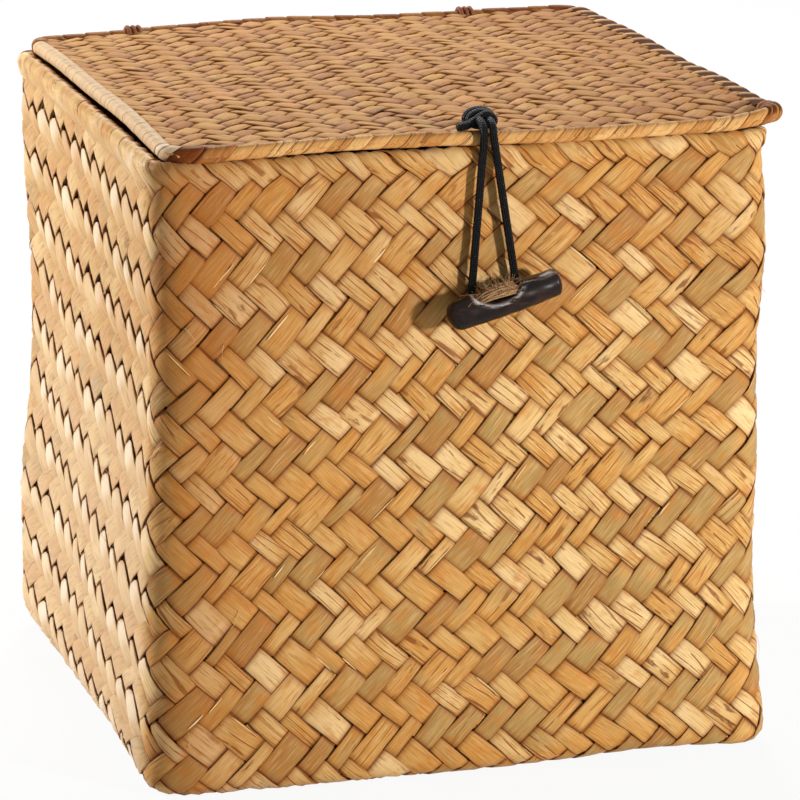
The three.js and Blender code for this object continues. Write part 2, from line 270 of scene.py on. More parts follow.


# Rush strip: a tone for each strip that drifts along it, warm patches, fine fibres and long splits;
# painted shade along its edges and where it dives under, and veil, which paints shade above 0 and glint
# below
def rushMaterial(name, cfg):
    material, start = newMaterial(name)
    across = start.node("SeparateXYZ", {0: mark(start, "place")})
    along, seed = across.pick("Y"), across.pick("Z")
    kind = start.node("SeparateXYZ", {0: mark(start, "tone")})
    light, stain = kind.pick("Y"), kind.pick("Z")
    lift, veil = mark(start, "lift", "Fac"), mark(start, "veil", "Fac")

    def grain(acrossScale, alongScale, seedScale, detail):
        parts = {0: across * acrossScale, 1: along * alongScale, 2: seed * seedScale}
        return noise(start, start.node("CombineXYZ", parts), 1.0, detail, 0.6)

    drift = grain(0.3, 0.05, 3.7, 1.0)  # slow change along a strip
    patch = grain(0.7, 0.15, 1.9, 2.0)  # patches about as long as a float
    fibre = grain(8.0, 0.12, 9.1, 3.0)  # fine fibres
    split = grain(0.8, 0.025, 5.3, 1.0)  # how the long lines wander
    colour = start.node("ValToRGB", {0: kind + cfg["drift"] * (drift - 0.5)}, {"stops": cfg["tones"]})
    colour = colourMix(softStep(patch, 0.52, 0.72) * cfg["warmth"], colour, cfg["warm"])
    colour = colourMix(softStep(fibre, 0.48, 0.72) * (0.25 + light * 0.35), colour, cfg["pale"])
    colour = colourMix(softStep(fibre, 0.52, 0.28) * 0.7, colour, cfg["deep"])
    wave = start.sums("SINE", across * 7.5 + split * 14, 0.0)
    lines = softStep(wave, 0.84, 0.97) * softStep(light, 0.25, 0.6) * softStep(patch, 0.36, 0.48)
    colour = colourMix(lines * 0.8, colour, cfg["line"])
    spots = softStep(grain(1.3, 0.11, 2.3, 3.0), 0.56, 0.68) * stain
    colour = colourMix(spots, colour, cfg["stain"])
    # painted shade: darker towards a strip's edges and where it dives under; then veil, painted shade above
    # 0 and painted glint below
    colour = colourMix(softStep(abs(across), 0.55, 1.0) * 0.3, colour, cfg["shade"])
    colour = colourMix(softStep(lift, 0.97, 0.3) * 0.5, colour, cfg["shade"])
    colour = colourMix(start.sums("MAXIMUM", veil, 0.0), colour, cfg["shade"])
    colour = colourMix(start.sums("MAXIMUM", 0.0 - veil, 0.0), colour, cfg["paintedGlint"])
    # painted shade in the edge colour: thin dark lines along a strip's edges, between neighbours, and dark
    # where it dives under
    rim = softStep(abs(across), 0.94, 0.99)
    dive = softStep(lift, cfg["diveHigh"], cfg["diveLow"])
    colour = colourMix(rim * 0.6, colour, cfg["edge"])
    colour = colourMix(dive * 0.85, colour, cfg["edge"])
    height = fibre * 0.6 - lines * 0.3 + patch * 0.4
    closeMaterial(start, {
        "Base Color": colour,
        "Roughness": cfg["rough"] + 0.25 * (fibre - 0.5) + 0.25 * dive,
        "Specular IOR Level": cfg["gloss"],
        "Sheen Weight": cfg["sheen"],
        "Sheen Roughness": 0.45,
        "Normal": bumps(start, height, 0.55),
    })
    return material


wallRush = rushMaterial("wallRush", {
    "tones": [
        (0.0, tint(174, 124, 67)), (0.15, tint(174, 139, 81)), (0.3, tint(190, 150, 88)),
        (0.45, tint(208, 149, 75)), (0.62, tint(210, 161, 91)), (0.8, tint(224, 182, 117)),
        (1.0, tint(238, 202, 143)),
    ],
    "drift": 0.9, "warmth": 0.5, "rough": 0.46, "gloss": 0.08, "sheen": 0.05, "diveHigh": 0.4,
    "diveLow": 0.0,
    "paintedGlint": tint(255, 241, 216), "warm": tint(206, 126, 46), "pale": tint(244, 208, 146),
    "deep": tint(168, 110, 50), "shade": tint(150, 82, 24), "line": tint(124, 60, 18),
    "stain": tint(110, 54, 26), "edge": tint(90, 38, 7),
})
lidRush = rushMaterial("lidRush", {
    "tones": [
        (0.0, tint(166, 110, 62)), (0.2, tint(190, 132, 74)), (0.5, tint(210, 152, 86)),
        (0.75, tint(216, 164, 90)), (1.0, tint(222, 158, 94)),
    ],
    "drift": 0.8, "warmth": 0.4, "rough": 0.62, "gloss": 0.06, "sheen": 0.0, "diveHigh": 0.55,
    "diveLow": 0.05,
    "paintedGlint": tint(240, 206, 150), "warm": tint(188, 116, 56), "pale": tint(234, 186, 122),
    "deep": tint(160, 102, 50), "shade": tint(146, 84, 38), "line": tint(124, 72, 36),
    "stain": tint(100, 50, 30), "edge": tint(92, 46, 28),
})
rollRush = rushMaterial("rollRush", {
    "tones": [
        (0.0, tint(136, 76, 34)), (0.25, tint(180, 120, 60)), (0.6, tint(204, 146, 80)),
        (1.0, tint(226, 178, 114)),
    ],
    "drift": 0.3, "warmth": 0.5, "rough": 0.5, "gloss": 0.04, "sheen": 0.0, "diveHigh": 0.9,
    "diveLow": 0.1,
    "paintedGlint": tint(255, 240, 212), "warm": tint(186, 110, 48), "pale": tint(228, 186, 130),
    "deep": tint(150, 94, 44), "shade": tint(112, 50, 18), "line": tint(118, 66, 28),
    "stain": tint(110, 48, 22), "edge": tint(52, 24, 8),
})
print("rush materials made")

# The plaited pattern lies flat in s (along) and v (up). Strips of one slant have a constant m = s + v,
# those of the other slant a constant o = s - v. A strip goes over two and under two
slants = ((0, "lean"), (1, "rise"))
strip = {
    "u": np.array([-1, -0.97, -0.88, 0, 0.88, 0.97, 1, 0.85, 0, -0.85]),
    "w": np.array([0, 0.8, 1, 1.05, 1, 0.8, 0, -1, -1, -1]),
    # points along one float, of two strips
    "steps": np.array([0.03, 0.12, 0.3, 0.75, 1.25, 1.7, 1.88, 1.97]),
    "pinch": 0.04,  # how much narrower it is where it dives under
    # the same where the plait is loose, with the tone that loose strips tend to
    "looseSharp": 1.5, "looseRise": 0.9, "loosePinch": (0.55, 0.0), "looseTone": 0.72,
    # painted highlights on the pointed upper ends of loose floats, and a painted highlight over all of the
    # loose plait
    "toothPlace": 1.5, "toothLength": 0.42, "toothGlint": 0.6, "looseGlint": 0.2,
}


# Edges between strips: even steps, each moved a little; the same again after a whole round
def stripEdges(count, pitch, spread, reach):
    index = np.arange(-reach, count + reach)
    moved = dice.uniform(-spread, spread, count)
    return index, (index + moved[index % count]) * pitch


# Lower and upper edge of some strips
def stripSides(ids, edges):
    first = np.searchsorted(edges[0], ids)
    return edges[1][first], edges[1][first + 1]


# Values on the points of rush: place is across (-1 to 1), along in mm and a seed; tone is the kind, the
# light and the stain; lift is 1 on top and 0 where it dives under, and low lift gets painted shade; veil
# goes to painted shade above 0 and to a painted glint below
def rushMarks(shape, place, tone, lift, veil=0.0):
    wide = [np.broadcast_to(part, shape) for part in (*place, *tone)]
    marks = {"place": np.stack(wide[:3], -1), "tone": np.stack(wide[3:], -1)}
    marks["lift"] = np.broadcast_to(lift, shape)
    marks["veil"] = np.broadcast_to(veil, shape)
    return marks


# Strips of one slant. Height over the middle of the sheet = rise * (over or under) + half the thickness
# round the section + a crown across it + a slow tilt; place() turns s, v and height into a point of the box.
# k counts the strips crossed: a strip is on top from 0 to 2 and underneath from 2 to 4
def plait(kind, ids, edges, others, run, cfg, place, hold=None):
    count = len(ids)
    ids, low, high = (part[:, None, None] for part in (ids, *stripSides(ids, edges)))
    centre, half, run = (low + high) / 2, (high - low) / 2, run[..., None]
    cross = np.interp(run, others[1], others[0] - 0.5)
    k = (ids - cross if kind == 0 else cross - ids) + 0.5
    s, v = (centre + run) / 2, (centre - run if kind == 0 else run - centre) / 2
    loose = cfg["loose"](s) if "loose" in cfg else 0 * run
    sharp = cfg["sharp"] + (strip["looseSharp"] - cfg["sharp"]) * loose
    over = np.tanh(sharp * np.sin(np.pi / 2 * k)) / np.tanh(sharp)
    upper = ease(0.3, -0.7, np.cos(np.pi / 2 * k))  # 1 where the first slant dives at its upper end
    floatSeed = np.floor(k / 4) * 78.2 + ids * 12.9
    chance = np.sin(floatSeed) ** 2  # differs from float to float
    press = hold(s, v) if hold else 0 * over  # pressed so that the first slant stays outside
    over = over * (1 - press) + press
    over = over if kind == 0 else -over
    phase = dice.uniform(0, 2 * np.pi, (5, count, 1, 1))
    wobble = 0.3 * np.sin(run / 17 + phase[0]) + 0.2 * np.sin(run / 7.3 + phase[1])
    tilt = np.sin(run / 11 + phase[2]) + 0.6 * np.sin(run / 5.7 + phase[3])
    tilt = cfg["tilt"] * tilt * (1 - 0.7 * loose)
    dip = 1 - np.abs(over)
    opened = 0.3 + chance + 0.5 * ease(-90, -10, v)  # loose teeth stand further open towards the top
    narrow = strip["loosePinch"][kind] * loose * upper * opened * dip**2
    pinch = strip["pinch"] * dip * (1 - loose) + narrow
    ripple = 0.06 * np.sin(run / 9 + phase[4]) * (1 - loose)
    width = 1 + ripple - pinch + 0.06 * np.maximum(press, loose)
    gap = cfg["gap"] * dice.uniform(0.3, 1.7, (count, 1, 1))
    thick = cfg["thick"] * dice.uniform(0.85, 1.15, (count, 1, 1))
    u, w = strip["u"], strip["w"]
    wide = half * width - gap / np.sqrt(2)
    side = centre + wobble * cfg["wobble"] - half * narrow + wide * u
    other = np.broadcast_to(run, side.shape)
    m, o = (side, other) if kind == 0 else (other, side)
    rise = cfg["rise"] * (1 + strip["looseRise"] * loose) * over
    crown = cfg["crown"] * (1 - loose)
    height = rise + thick / 2 * w + crown * (0.5 - u**2) + tilt * u
    points = place((m + o) / 2, (m - o) / 2, height)
    seed = dice.uniform(0, 60, (count, 1, 1))
    draw = dice.uniform(0, 1, (3, count, 1, 1))
    dark, pale = cfg["tone"][kind]
    tone = dark + (pale - dark) * draw[0]
    tone = tone + (strip["looseTone"] - tone) * 0.6 * loose
    light = cfg["light"][kind] * draw[1] ** 0.9 * (1 - 0.75 * loose)
    stain = cfg["stain"] * ease(0.9, 0.98, draw[2])
    apex = ease(-0.3, 0.9, u) if kind == 0 else ease(0.5, -0.9, u)  # where a loose tooth is pointed
    crisp = upper**2 * (u > 0) * (kind == 0)
    soft = np.maximum(0.08 * press, 0.4 * loose * (1 - 0.9 * crisp))
    across = u * cfg["edge"] * (1 - soft)
    # painted shade: wider dark lines in the top row, under the lid
    if hold:  # wider dark lines in the top row
        across = across * (1 + 0.07 * ease(-12, 2, v) * (1 - loose) * (1 - press))
    # painted shadow where a strip dives under, darkest at the apex of a loose tooth
    shadow = 1 - loose + loose * upper * (0.5 + 0.8 * chance) * apex
    lift = 1 - dip * np.minimum(shadow, 1)
    # painted highlights on loose teeth and over the loose plait, and painted shade from dusk
    tooth = hump(k % 4, strip["toothPlace"], strip["toothLength"]) * (kind == 0)
    paintedGlint = strip["toothGlint"] * tooth * (0.2 + 0.9 * np.cos(3 * floatSeed) ** 2)
    veil = -(paintedGlint + strip["looseGlint"]) * loose * (1 - 0.7 * press)
    if "dusk" in cfg:
        veil = veil + cfg["dusk"](s, v)
    where = (across, other / np.sqrt(2), seed)
    return points, rushMarks(points.shape[:-1], where, (tone, light, stain), lift, veil)


# Walls: the strips come from under the base, up the wall, over the rim wire and a little way down inside
wall = {
    "halfX": 98.9, "halfY": 101.9,  # middle of the sheet at the rim
    "rim": 202, "corner": 8.9, "cornerLow": 3.8, "flare": 4.5, "draw": 1.8,
    "foot": 4.9, "sole": 1.25, "under": 20, "roll": 2.1, "tuck": 15,
    "rollFrom": 196,  # height where a strip begins to bend over the rim wire
    "overRim": 17, "overSteps": 36, "tuckSteps": 5,  # length bent over, and points there and inside
    "pressed": (4, 8),  # where, past that height, one slant comes to lie over the other
    "strips": 72, "rows": 21, "rise": 0.58, "thick": 0.6, "crown": 0.12, "gap": 0.05,
    "tilt": 0.2, "wobble": 1.0, "stain": 0.8,
    "sharp": 3.0,  # how squarely a strip bends over its neighbours
    # the paler slant's tone is partly painted sheen, as where its fibres catch the light
    "tone": ((0.42, 1.0), (0.0, 0.78)), "light": (1.0, 0.55),  # one slant paler and more split
    "spread": 0.21, "topRow": 203.0,  # height of the upper edge of the first row of floats
    "cornerRise": 0.15,  # floats stand further out where they bend round a corner
    # shares of the way round, and the rise of the rows there
    "climb": ((0, 0.245, 0.78, 0.806, 0.973, 1), (-1.7, 12, 12, 12, -1.7, -1.7)),
    "level": 0.65, "levelRun": 45,  # the rows come level again towards the rim
    # and rise at the front left corner
    "cornerClimb": ((0, 0.22, 0.82, 0.973, 1), (4.2, 0.6, 0.6, 4.2, 4.2)),
    # the dark lines along a strip's edges are painted shade between neighbours
    "edge": 1.0,  # how far the dark lines come in from a strip's edges
}
# How far the pattern runs along the front, a corner, the right side and so on round; on the left the strips
# lie flatter, so fewer of them cross that side
wallRuns = np.array([174, 18.8, 167.6, 18.8, 174, 18.8, 118.4, 18.8])
lidRuns = np.array([180, 14, 186, 14] * 2)
wall["round"] = wallRuns.sum()
wall["pitch"] = wall["round"] / wall["strips"]


# Share of the way round the walls
def shareAt(s):
    return (s / wall["round"]) % 1


# Point on a rectangle with rounded corners and its outward direction, from the share of the way round.
# It starts at the front's left end and runs to the right, then along the right side
def ringPoint(share, halfX, halfY, radius, runs):
    ends = np.cumsum(runs)
    at = (share % 1) * ends[-1]
    part = np.clip(np.searchsorted(ends, at, side="right"), 0, 7)
    local = (at - (ends - runs)[part]) / runs[part]
    quarter, bend = part // 2, part % 2
    angle = (quarter - 1 + bend * local) * np.pi / 2
    signX = np.array([1, 1, -1, -1])
    signY = np.array([-1, 1, 1, -1])
    mix = np.where(bend == 1, 1.0, local)
    before = (quarter - 1) % 4
    x = (signX[before] * (1 - mix) + signX[quarter] * mix) * (halfX - radius)
    y = (signY[before] * (1 - mix) + signY[quarter] * mix) * (halfY - radius)
    nx, ny = np.cos(angle), np.sin(angle)
    return x + radius * nx, y + radius * ny, nx, ny


# Profile of the wall as a run of points: inset from the wall's line, and height
def wallProfile(cfg):
    quarter = np.linspace(0, np.pi / 2, 9)
    over = np.linspace(0, np.pi, 17)
    climb = np.linspace(cfg["sole"] + cfg["foot"], cfg["rim"], 120)
    inset = np.concatenate([
        np.linspace(cfg["foot"] + cfg["under"], cfg["foot"], 8)[:-1],
        cfg["foot"] * (1 - np.sin(quarter))[:-1],
        -cfg["roll"] * ease(cfg["rollFrom"], cfg["rim"], climb)[:-1],
        (-cfg["roll"] * np.sign(np.cos(over)) * np.abs(np.cos(over)) ** 0.65)[:-1],
        np.linspace(cfg["roll"], cfg["roll"] + 0.2, 8),
    ])
    height = np.concatenate([
        np.full(7, cfg["sole"]),
        (cfg["sole"] + cfg["foot"] * (1 - np.cos(quarter)))[:-1],
        climb[:-1],
        (cfg["rim"] + cfg["roll"] * np.sin(over) ** 0.65)[:-1],
        np.linspace(cfg["rim"], cfg["rim"] - cfg["tuck"], 8),
    ])
    share = np.clip(height / cfg["rim"], 0, 1)
    flare = cfg["flare"] * (1 - share) - cfg["draw"] * np.sin(np.pi * share)
    out = flare - inset
    run = pathLength(np.stack([out, height], -1))
    top = height.argmax()
    run -= np.interp(cfg["sole"] + cfg["foot"], height[:top], run[:top])
    slopeOut, slopeUp = np.gradient(out, run), np.gradient(height, run)
    return {
        "run": run, "inset": inset, "flare": flare, "height": height,
        "faceOut": slopeUp, "faceUp": -slopeOut,
    }


profile = wallProfile(wall)
profileTop = profile["height"].argmax()
rimStart = np.interp(wall["rollFrom"], profile["height"][:profileTop], profile["run"][:profileTop])
wall["phase"] = rimStart + wall["topRow"] - wall["rollFrom"] - 0.75 * wall["pitch"]


# The box has settled: its rim and lid sink towards the front
settled = {"left": 1.8, "right": 1.2, "halfX": 100, "halfY": 102, "low": 60, "high": 202}


def sunk(x, y):
    right = np.clip((x + settled["halfX"]) / (2 * settled["halfX"]), 0, 1)
    front = np.clip((settled["halfY"] - y) / (2 * settled["halfY"]), 0, 1)
    return (settled["left"] + (settled["right"] - settled["left"]) * right) * front**2


# 1 along one side of the box (0 front, 1 right, 2 back, 3 left), fading out over a length at both ends
def onSide(share, side, fade):
    ends, half = np.cumsum(wallRuns), wallRuns[2 * side] / 2
    middle = ends[2 * side] - half
    away = np.abs((share * ends[-1] - middle + ends[-1] / 2) % ends[-1] - ends[-1] / 2)
    return 1 - ease(half - fade, half + fade, away)


# How far the rows of floats have climbed: least at the front left corner, and less near the rim, where the
# rows at that corner are raised again
def climb(share, v):
    below = np.minimum(v, 0) / wall["levelRun"]
    levelled = np.interp(share, *wall["climb"]) * (1 - wall["level"] * np.exp(below))
    return levelled + np.interp(share, *wall["cornerClimb"]) * np.exp(-(below**2))


# Hand-made unevenness of the walls, outwards. Swells and hollows: how far, at what height and how tall
uneven = {
    "leftHollow": (-1.9, 118, 48), "rearSwell": (1.8, 55, 26),
    "rightSwell": (2.4, 163, 27), "rightHollow": (-1.6, 62, 30),
    "rightFrom": (0.225, 0.26), "rightTo": (0.36, 0.5),  # where the right side's fade in and out
    "underLid": 0.4, "underLidRight": 0.1,  # front and right side draw in under the lid
}


def swelling(key, z):
    amount, place, spread = uneven[key]
    return amount * hump(z, place, spread)


# Long waves round the box, the swells and hollows of its sides, and the rim drawn in
def wallBulge(share, z):
    turn = 2 * np.pi * share
    waves = 0.5 * np.sin(3 * turn + z / 31) + 0.35 * np.sin(7 * turn - z / 19 + 1)
    right = ease(*uneven["rightFrom"], share) * (1 - ease(*uneven["rightTo"], share))
    front = np.maximum(onSide(share, 0, 12), right)
    left = swelling("leftHollow", z) * onSide(share, 3, 9)
    left = left + swelling("rearSwell", z) * hump(share, 0.8, 0.03)
    swell = (swelling("rightSwell", z) + swelling("rightHollow", z)) * right
    fade = ease(0, 25, z) * (1 - ease(185, 202, z))
    drawn = (uneven["underLid"] + uneven["underLidRight"] * right) * front * hump(z, wall["rim"], 7)
    return (waves + left + swell) * fade - drawn


# How near a point is to the middle of a corner, 0 to 1, from the share of the way round
def cornerNear(share):
    middles = (np.cumsum(wallRuns) - wallRuns / 2)[1::2] / wall["round"]
    away = np.abs((share[..., None] - middles + 0.5) % 1 - 0.5).min(-1) * wall["round"]
    return hump(away, 0, wall["corner"])


# The foot is raised along the left side, where it also stands further in, and towards the right of the
# front
footing = {"left": 2.6, "leftIn": 1.8, "front": 2.0, "frontX": 62, "frontSpread": 32}


def leftFoot(x, y):
    return ease(60, 98, -x) * ease(-120, -30, y)


def footRaise(x, y):
    front = footing["front"] * hump(x, footing["frontX"], footing["frontSpread"]) * ease(60, 95, -y)
    return front + footing["left"] * leftFoot(x, y)


# A point of the wall: the profile at v, carried round the box, moved outwards by the height
def wallPlace(s, v, height):
    share = shareAt(s)
    turn = 2 * np.pi * share
    wander = 0.7 * np.sin(5 * turn + v / 23) + 0.4 * np.sin(11 * turn - v / 31)
    v = v + wall["phase"] + climb(share, v) + wander
    share = share + 0.8 / wall["round"] * np.sin(v / 27 + 6 * turn)
    look = {key: np.interp(v, profile["run"], profile[key]) for key in profile if key != "run"}
    swell = wallBulge(share % 1, look["height"])
    reach = look["flare"] - look["inset"] + swell
    corner = wall["corner"] + wall["cornerLow"] * (1 - ease(130, 196, look["height"]))
    radius = np.maximum(corner - look["inset"], 0.6)
    x, y, nx, ny = ringPoint(share, wall["halfX"] + reach, wall["halfY"] + reach, radius, wallRuns)
    upright = ease(8, 20, look["height"]) * (1 - ease(190, 200, look["height"]))
    height = height * (1 + wall["cornerRise"] * cornerNear(share % 1) * upright)
    x, y = x + nx * look["faceOut"] * height, y + ny * look["faceOut"] * height
    z = look["height"] + look["faceUp"] * height
    z = z - sunk(x, y) * ease(settled["low"], settled["high"], z)
    z = z + footRaise(x, y) * (1 - ease(4, 45, z))
    x = x + footing["leftIn"] * leftFoot(x, y) * (1 - ease(2, 18, z))
    return xyz(x, y, z)


# The left side is plaited more loosely
def leftSide(s):
    return onSide(shareAt(s), 3, 7)


# Painted shade: the front is darker towards its left end, most at the corner, and a little towards the top,
# as is the left side
dusk = {"corner": 0.3, "leftEnd": 0.2, "top": 0.18, "leftSide": 0.14}


def leftPaintedShade(s, v):
    fromCorner = (s + wall["round"] / 2) % wall["round"] - wall["round"] / 2
    near = ease(-22, -6, fromCorner) * (1 - ease(170, 200, fromCorner))
    level = dusk["corner"] * hump(fromCorner, 0, 13) + dusk["leftEnd"] * (1 - ease(5, 120, fromCorner))
    front = near * (level + dusk["top"] * ease(-95, -25, v))
    return front + dusk["leftSide"] * leftSide(s) * ease(-120, -50, v)


wall["loose"] = leftSide
wall["dusk"] = leftPaintedShade


# Points along a strip: a few for each float, close together where it dives, then even steps over the rim
def wallRun(kind, ids, edges, others):
    centre = sum(stripSides(ids, edges))[:, None] / 2
    grid = np.arange(-60, 60, 0.25)
    share = shareAt(centre - grid if kind == 0 else centre + grid)
    climbed = grid + wall["phase"] + climb(share, grid)
    rim = grid[(climbed < rimStart).sum(1)][:, None]
    end = grid[(climbed < profile["run"][-1] - 3).sum(1)][:, None]
    top = np.floor((2 * (rim - 0.5) / wall["pitch"] - 1.5) / 2)
    rows = top + np.arange(1 - wall["rows"], 1)
    k = (2 * rows[..., None] - 0.5 + strip["steps"]).reshape(len(ids), -1)
    cross = ids[:, None] - k if kind == 0 else ids[:, None] + k
    run = np.interp(cross, others[0] - 0.5, others[1])
    v = (centre - run) / 2 if kind == 0 else (run - centre) / 2
    start, bent = v[:, -1:], rim + wall["overRim"]
    over = start + (bent - start) * np.linspace(0, 1, wall["overSteps"] + 1)[1:]
    inside = bent + (end - bent) * np.linspace(0, 1, wall["tuckSteps"] + 1)[1:]
    v = np.concatenate([v, over, inside], 1)
    return centre - 2 * v if kind == 0 else centre + 2 * v


def makeWalls():
    count, stands = wall["strips"], ("woven_body", "rim_binding")
    sets = [stripEdges(count, wall["pitch"], wall["spread"], 70) for _ in slants]

    def hold(s, v):
        return ease(*wall["pressed"], v + wall["phase"] + climb(shareAt(s), v) - rimStart)

    for kind, name in slants:
        edges, others = sets[kind], sets[1 - kind]
        for half in range(2):
            ids = np.arange(half * count // 2, (half + 1) * count // 2)
            run = wallRun(kind, ids, edges, others)
            points, marks = plait(kind, ids, edges, others, run, wall, wallPlace, hold)
            label = f"wall_strips_{name}_{half + 1}"
            addPiece(label, points, marks, wallRush, "box", stands)
            stands = ()
    for kind, name in slants:
        makeSlivers(slivers, kind, sets[kind], f"wall_slivers_{name}")


# Split edges: narrow ribbons, pointed at both ends, lie beside the edge of a float and curl off it at one
# end. A float of the first slant has its middle at v = (0.25 + 2 row) pitch, of the other at (1.25 + 2 row)
# pitch
slivers = {
    "count": 90, "rows": (-9, -1), "length": (5, 13), "width": (0.3, 0.75), "thick": 0.12, "curl": 0.9,
    "edge": (0.62, 0.98), "tones": [0.1, 0.9, 1.0, 1.0], "light": 0.3,
}


def makeSlivers(cfg, kind, edges, name):
    count, pitch = cfg["count"], wall["pitch"]
    ids = dice.integers(0, wall["strips"], count)
    row = dice.integers(*cfg["rows"], count)
    low, high = stripSides(ids, edges)
    length = dice.uniform(*cfg["length"], (count, 1, 1)) * np.sqrt(2)
    width = dice.uniform(*cfg["width"], (count, 1, 1)) * np.sqrt(2)
    hand = dice.choice([-1, 1], count)
    edge = (low + high) / 2 + hand * (high - low) / 2 * dice.uniform(*cfg["edge"], count)
    middle = ((ids - 4 * row if kind == 0 else ids + 3 + 4 * row) * pitch)[:, None, None]
    t = np.linspace(-1, 1, 9)[None, :, None]
    angle = np.arange(6) * np.pi / 3
    taper = np.sqrt(np.clip(1 - t**2, 0.004, 1))
    side = edge[:, None, None] + width / 2 * taper * np.cos(angle)
    run = middle + length / 2 * t + 0 * angle
    m, o = (side, run) if kind == 0 else (run, side)
    curl = cfg["curl"] * dice.uniform(0, 1, (count, 1, 1)) * ease(-0.2, 1, t * hand[:, None, None]) ** 2
    height = wall["rise"] + wall["thick"] / 2 + 0.1 + curl + cfg["thick"] * np.sin(angle) * taper
    points = wallPlace((m + o) / 2, (m - o) / 2, height)
    seed = dice.uniform(0, 60, (count, 1, 1))
    kindTone = dice.choice(cfg["tones"], (count, 1, 1))
    place = (0.2 * np.cos(angle), run / np.sqrt(2), seed)
    marks = rushMarks(side.shape, place, (kindTone, cfg["light"], 0.0), 1.0)
    addPiece(name, points, marks, wallRush, "box")


makeWalls()
print("walls plaited")

# Base and lid are flat sheets plaited on the bias and cut off inside their edge
base = {
    "halfX": 97.5, "halfY": 100.5, "z": 2.9,
    "drawn": 0.968,  # drawn in, so that its ends lie on the walls' ends
    "shortest": 9, "pitch": 9.85, "rise": 0.55, "thick": 0.8, "crown": 0.1, "gap": 0.2, "spread": 0.12,
    "tilt": 0.08, "wobble": 0.4, "stain": 0.7, "sharp": 2.4, "edge": 1.0,
    "tone": ((0.3, 1.0), (0.0, 0.8)), "light": (1.0, 0.6),
}
lid = {
    "halfX": 97.6, "halfY": 100.9, "middleX": 4.6, "z": 208.3,
    "shortest": 9, "pitch": 8.1, "rise": 0.55, "thick": 0.75, "crown": 0.35, "gap": 0.0, "spread": 0.18,
    "tilt": 0.24, "wobble": 0.8, "stain": 0.8, "sharp": 1.8, "edge": 0.88,
    "tone": ((0.3, 1.0), (0.15, 0.9)), "light": (0.6, 0.4),
    "bow": 1.5, "pressed": 0.9,  # up towards the back and right, and down in front on the right
    "duskRight": 0.22, "duskRear": 0.2,
}


# The lid is not quite flat: slow waves, bowed up towards the back and right, and sunk with the rim in front
def lidLift(x, y):
    inner = 1 - ease(90, 106, np.abs(x - lid["middleX"])) * ease(88, 104, np.abs(y))
    waves = 0.5 * np.sin(x / 21 + y / 33) + 0.4 * np.sin(y / 17 - x / 41 + 2)
    bow = lid["bow"] * ease(-70, 0, x) * ease(-95, -30, y)
    pressed = lid["pressed"] * ease(-60, 80, x) * ease(-75, -101, y)
    return waves * (0.25 + 0.75 * inner) + bow - pressed - sunk(x, y)


def lidPlace(s, v, height):
    x, y = v + lid["middleX"], s
    x, y = x + 0.6 * np.sin(y / 19 + x / 43), y + 0.6 * np.sin(x / 23 - y / 37)
    return xyz(x, y, lid["z"] + lidLift(x, y) + height)


# Painted shade: the lid is darker along its right edge and in the rear corner there
def lidPaintedShade(s, v):
    return lid["duskRight"] * ease(45, 95, v) + lid["duskRear"] * ease(0, 95, v) * ease(20, 95, s)


lid["dusk"] = lidPaintedShade


# The base is level, raised where the foot is
def basePlace(s, v, height):
    x, y = s * base["drawn"], v * base["drawn"]
    return xyz(x, y, base["z"] + footRaise(x, y) + height)


# Strips of one slant over a rectangle halfS by halfV, each from edge to edge
def makeSheet(name, cfg, halfS, halfV, place, material, body, stands, steps):
    count = int(2 * (halfS + halfV) / cfg["pitch"]) + 8
    sets = [stripEdges(4 * count, cfg["pitch"], cfg["spread"], 2 * count) for _ in slants]
    for kind, label in slants:
        edges, others = sets[kind], sets[1 - kind]
        ids = np.arange(-count // 2, count // 2)
        centre = sum(stripSides(ids, edges)) / 2
        reachLow = np.maximum(-2 * halfS - centre, centre - 2 * halfV)
        reachHigh = np.minimum(2 * halfS - centre, centre + 2 * halfV)
        keep = reachHigh - reachLow > cfg["shortest"]
        ids, reachLow, reachHigh = ids[keep], reachLow[keep], reachHigh[keep]
        run = reachLow[:, None] + (reachHigh - reachLow)[:, None] * np.linspace(0, 1, steps)
        points, marks = plait(kind, ids, edges, others, run, cfg, place)
        addPiece(f"{name}_{label}", points, marks, material, body, stands)
        stands = ()


makeSheet("base_strips", base, base["halfX"], base["halfY"], basePlace, wallRush, "box", (), 120)
makeSheet("lid_strips", lid, lid["halfY"], lid["halfX"], lidPlace, lidRush, "lid", ("lid_panel",), 170)
print("base and lid plaited")

# Lid edge: short rush wraps laid slanting round the wire, each a little over the next, with painted shade at
# their seams. Along the right side the lid's strips are folded over it with painted shade in the hollows
# between, and curl up at the front right corner
lidRoll = {
    "halfX": 98.6, "halfY": 101.9, "corner": 8.9, "z": 207.5, "radius": 2.45, "slant": 0.95,
    "core": 1.2, "inwards": 1.1, "gapDepth": 0.25, "curl": 2.4, "bulge": 1.0,
    # from, to, wraps, darkest and lightest tone, dark lines (painted shade at the seams), folded apart,
    # extra radius, veil (painted shade above 0, painted highlight below)
    "cuts": (
        (0.0125, 0.232, 28, 0.4, 1.0, 1.0, 0, -0.3, 0.0),
        (0.232, 0.248, 5, 0.1, 0.8, 1.0, 0.35, 0.4, 0.45),
        (0.248, 0.49, 19, 0.3, 0.9, 1.0, 1, 0.0, 0.0),
        (0.49, 0.745, 25, 0.0, 0.7, 1.0, 0, 0.1, 0.4),
        (0.745, 0.9785, 34, 0.8, 1.0, 0.4, 0, 0.0, -0.35),
        (0.9785, 0.984, 1, 1.0, 1.0, 1.0, 0, 0.0, -0.6),
        (0.984, 0.99, 1, 0.9, 0.9, 1.0, 0, 0.1, -0.4),
        (0.99, 0.999, 1, 0.0, 0.0, 1.0, 0, 0.3, 0.8),
        (0.999, 1.0125, 1, 0.15, 0.15, 1.0, 0, 0.15, 0.15),
    ),
}


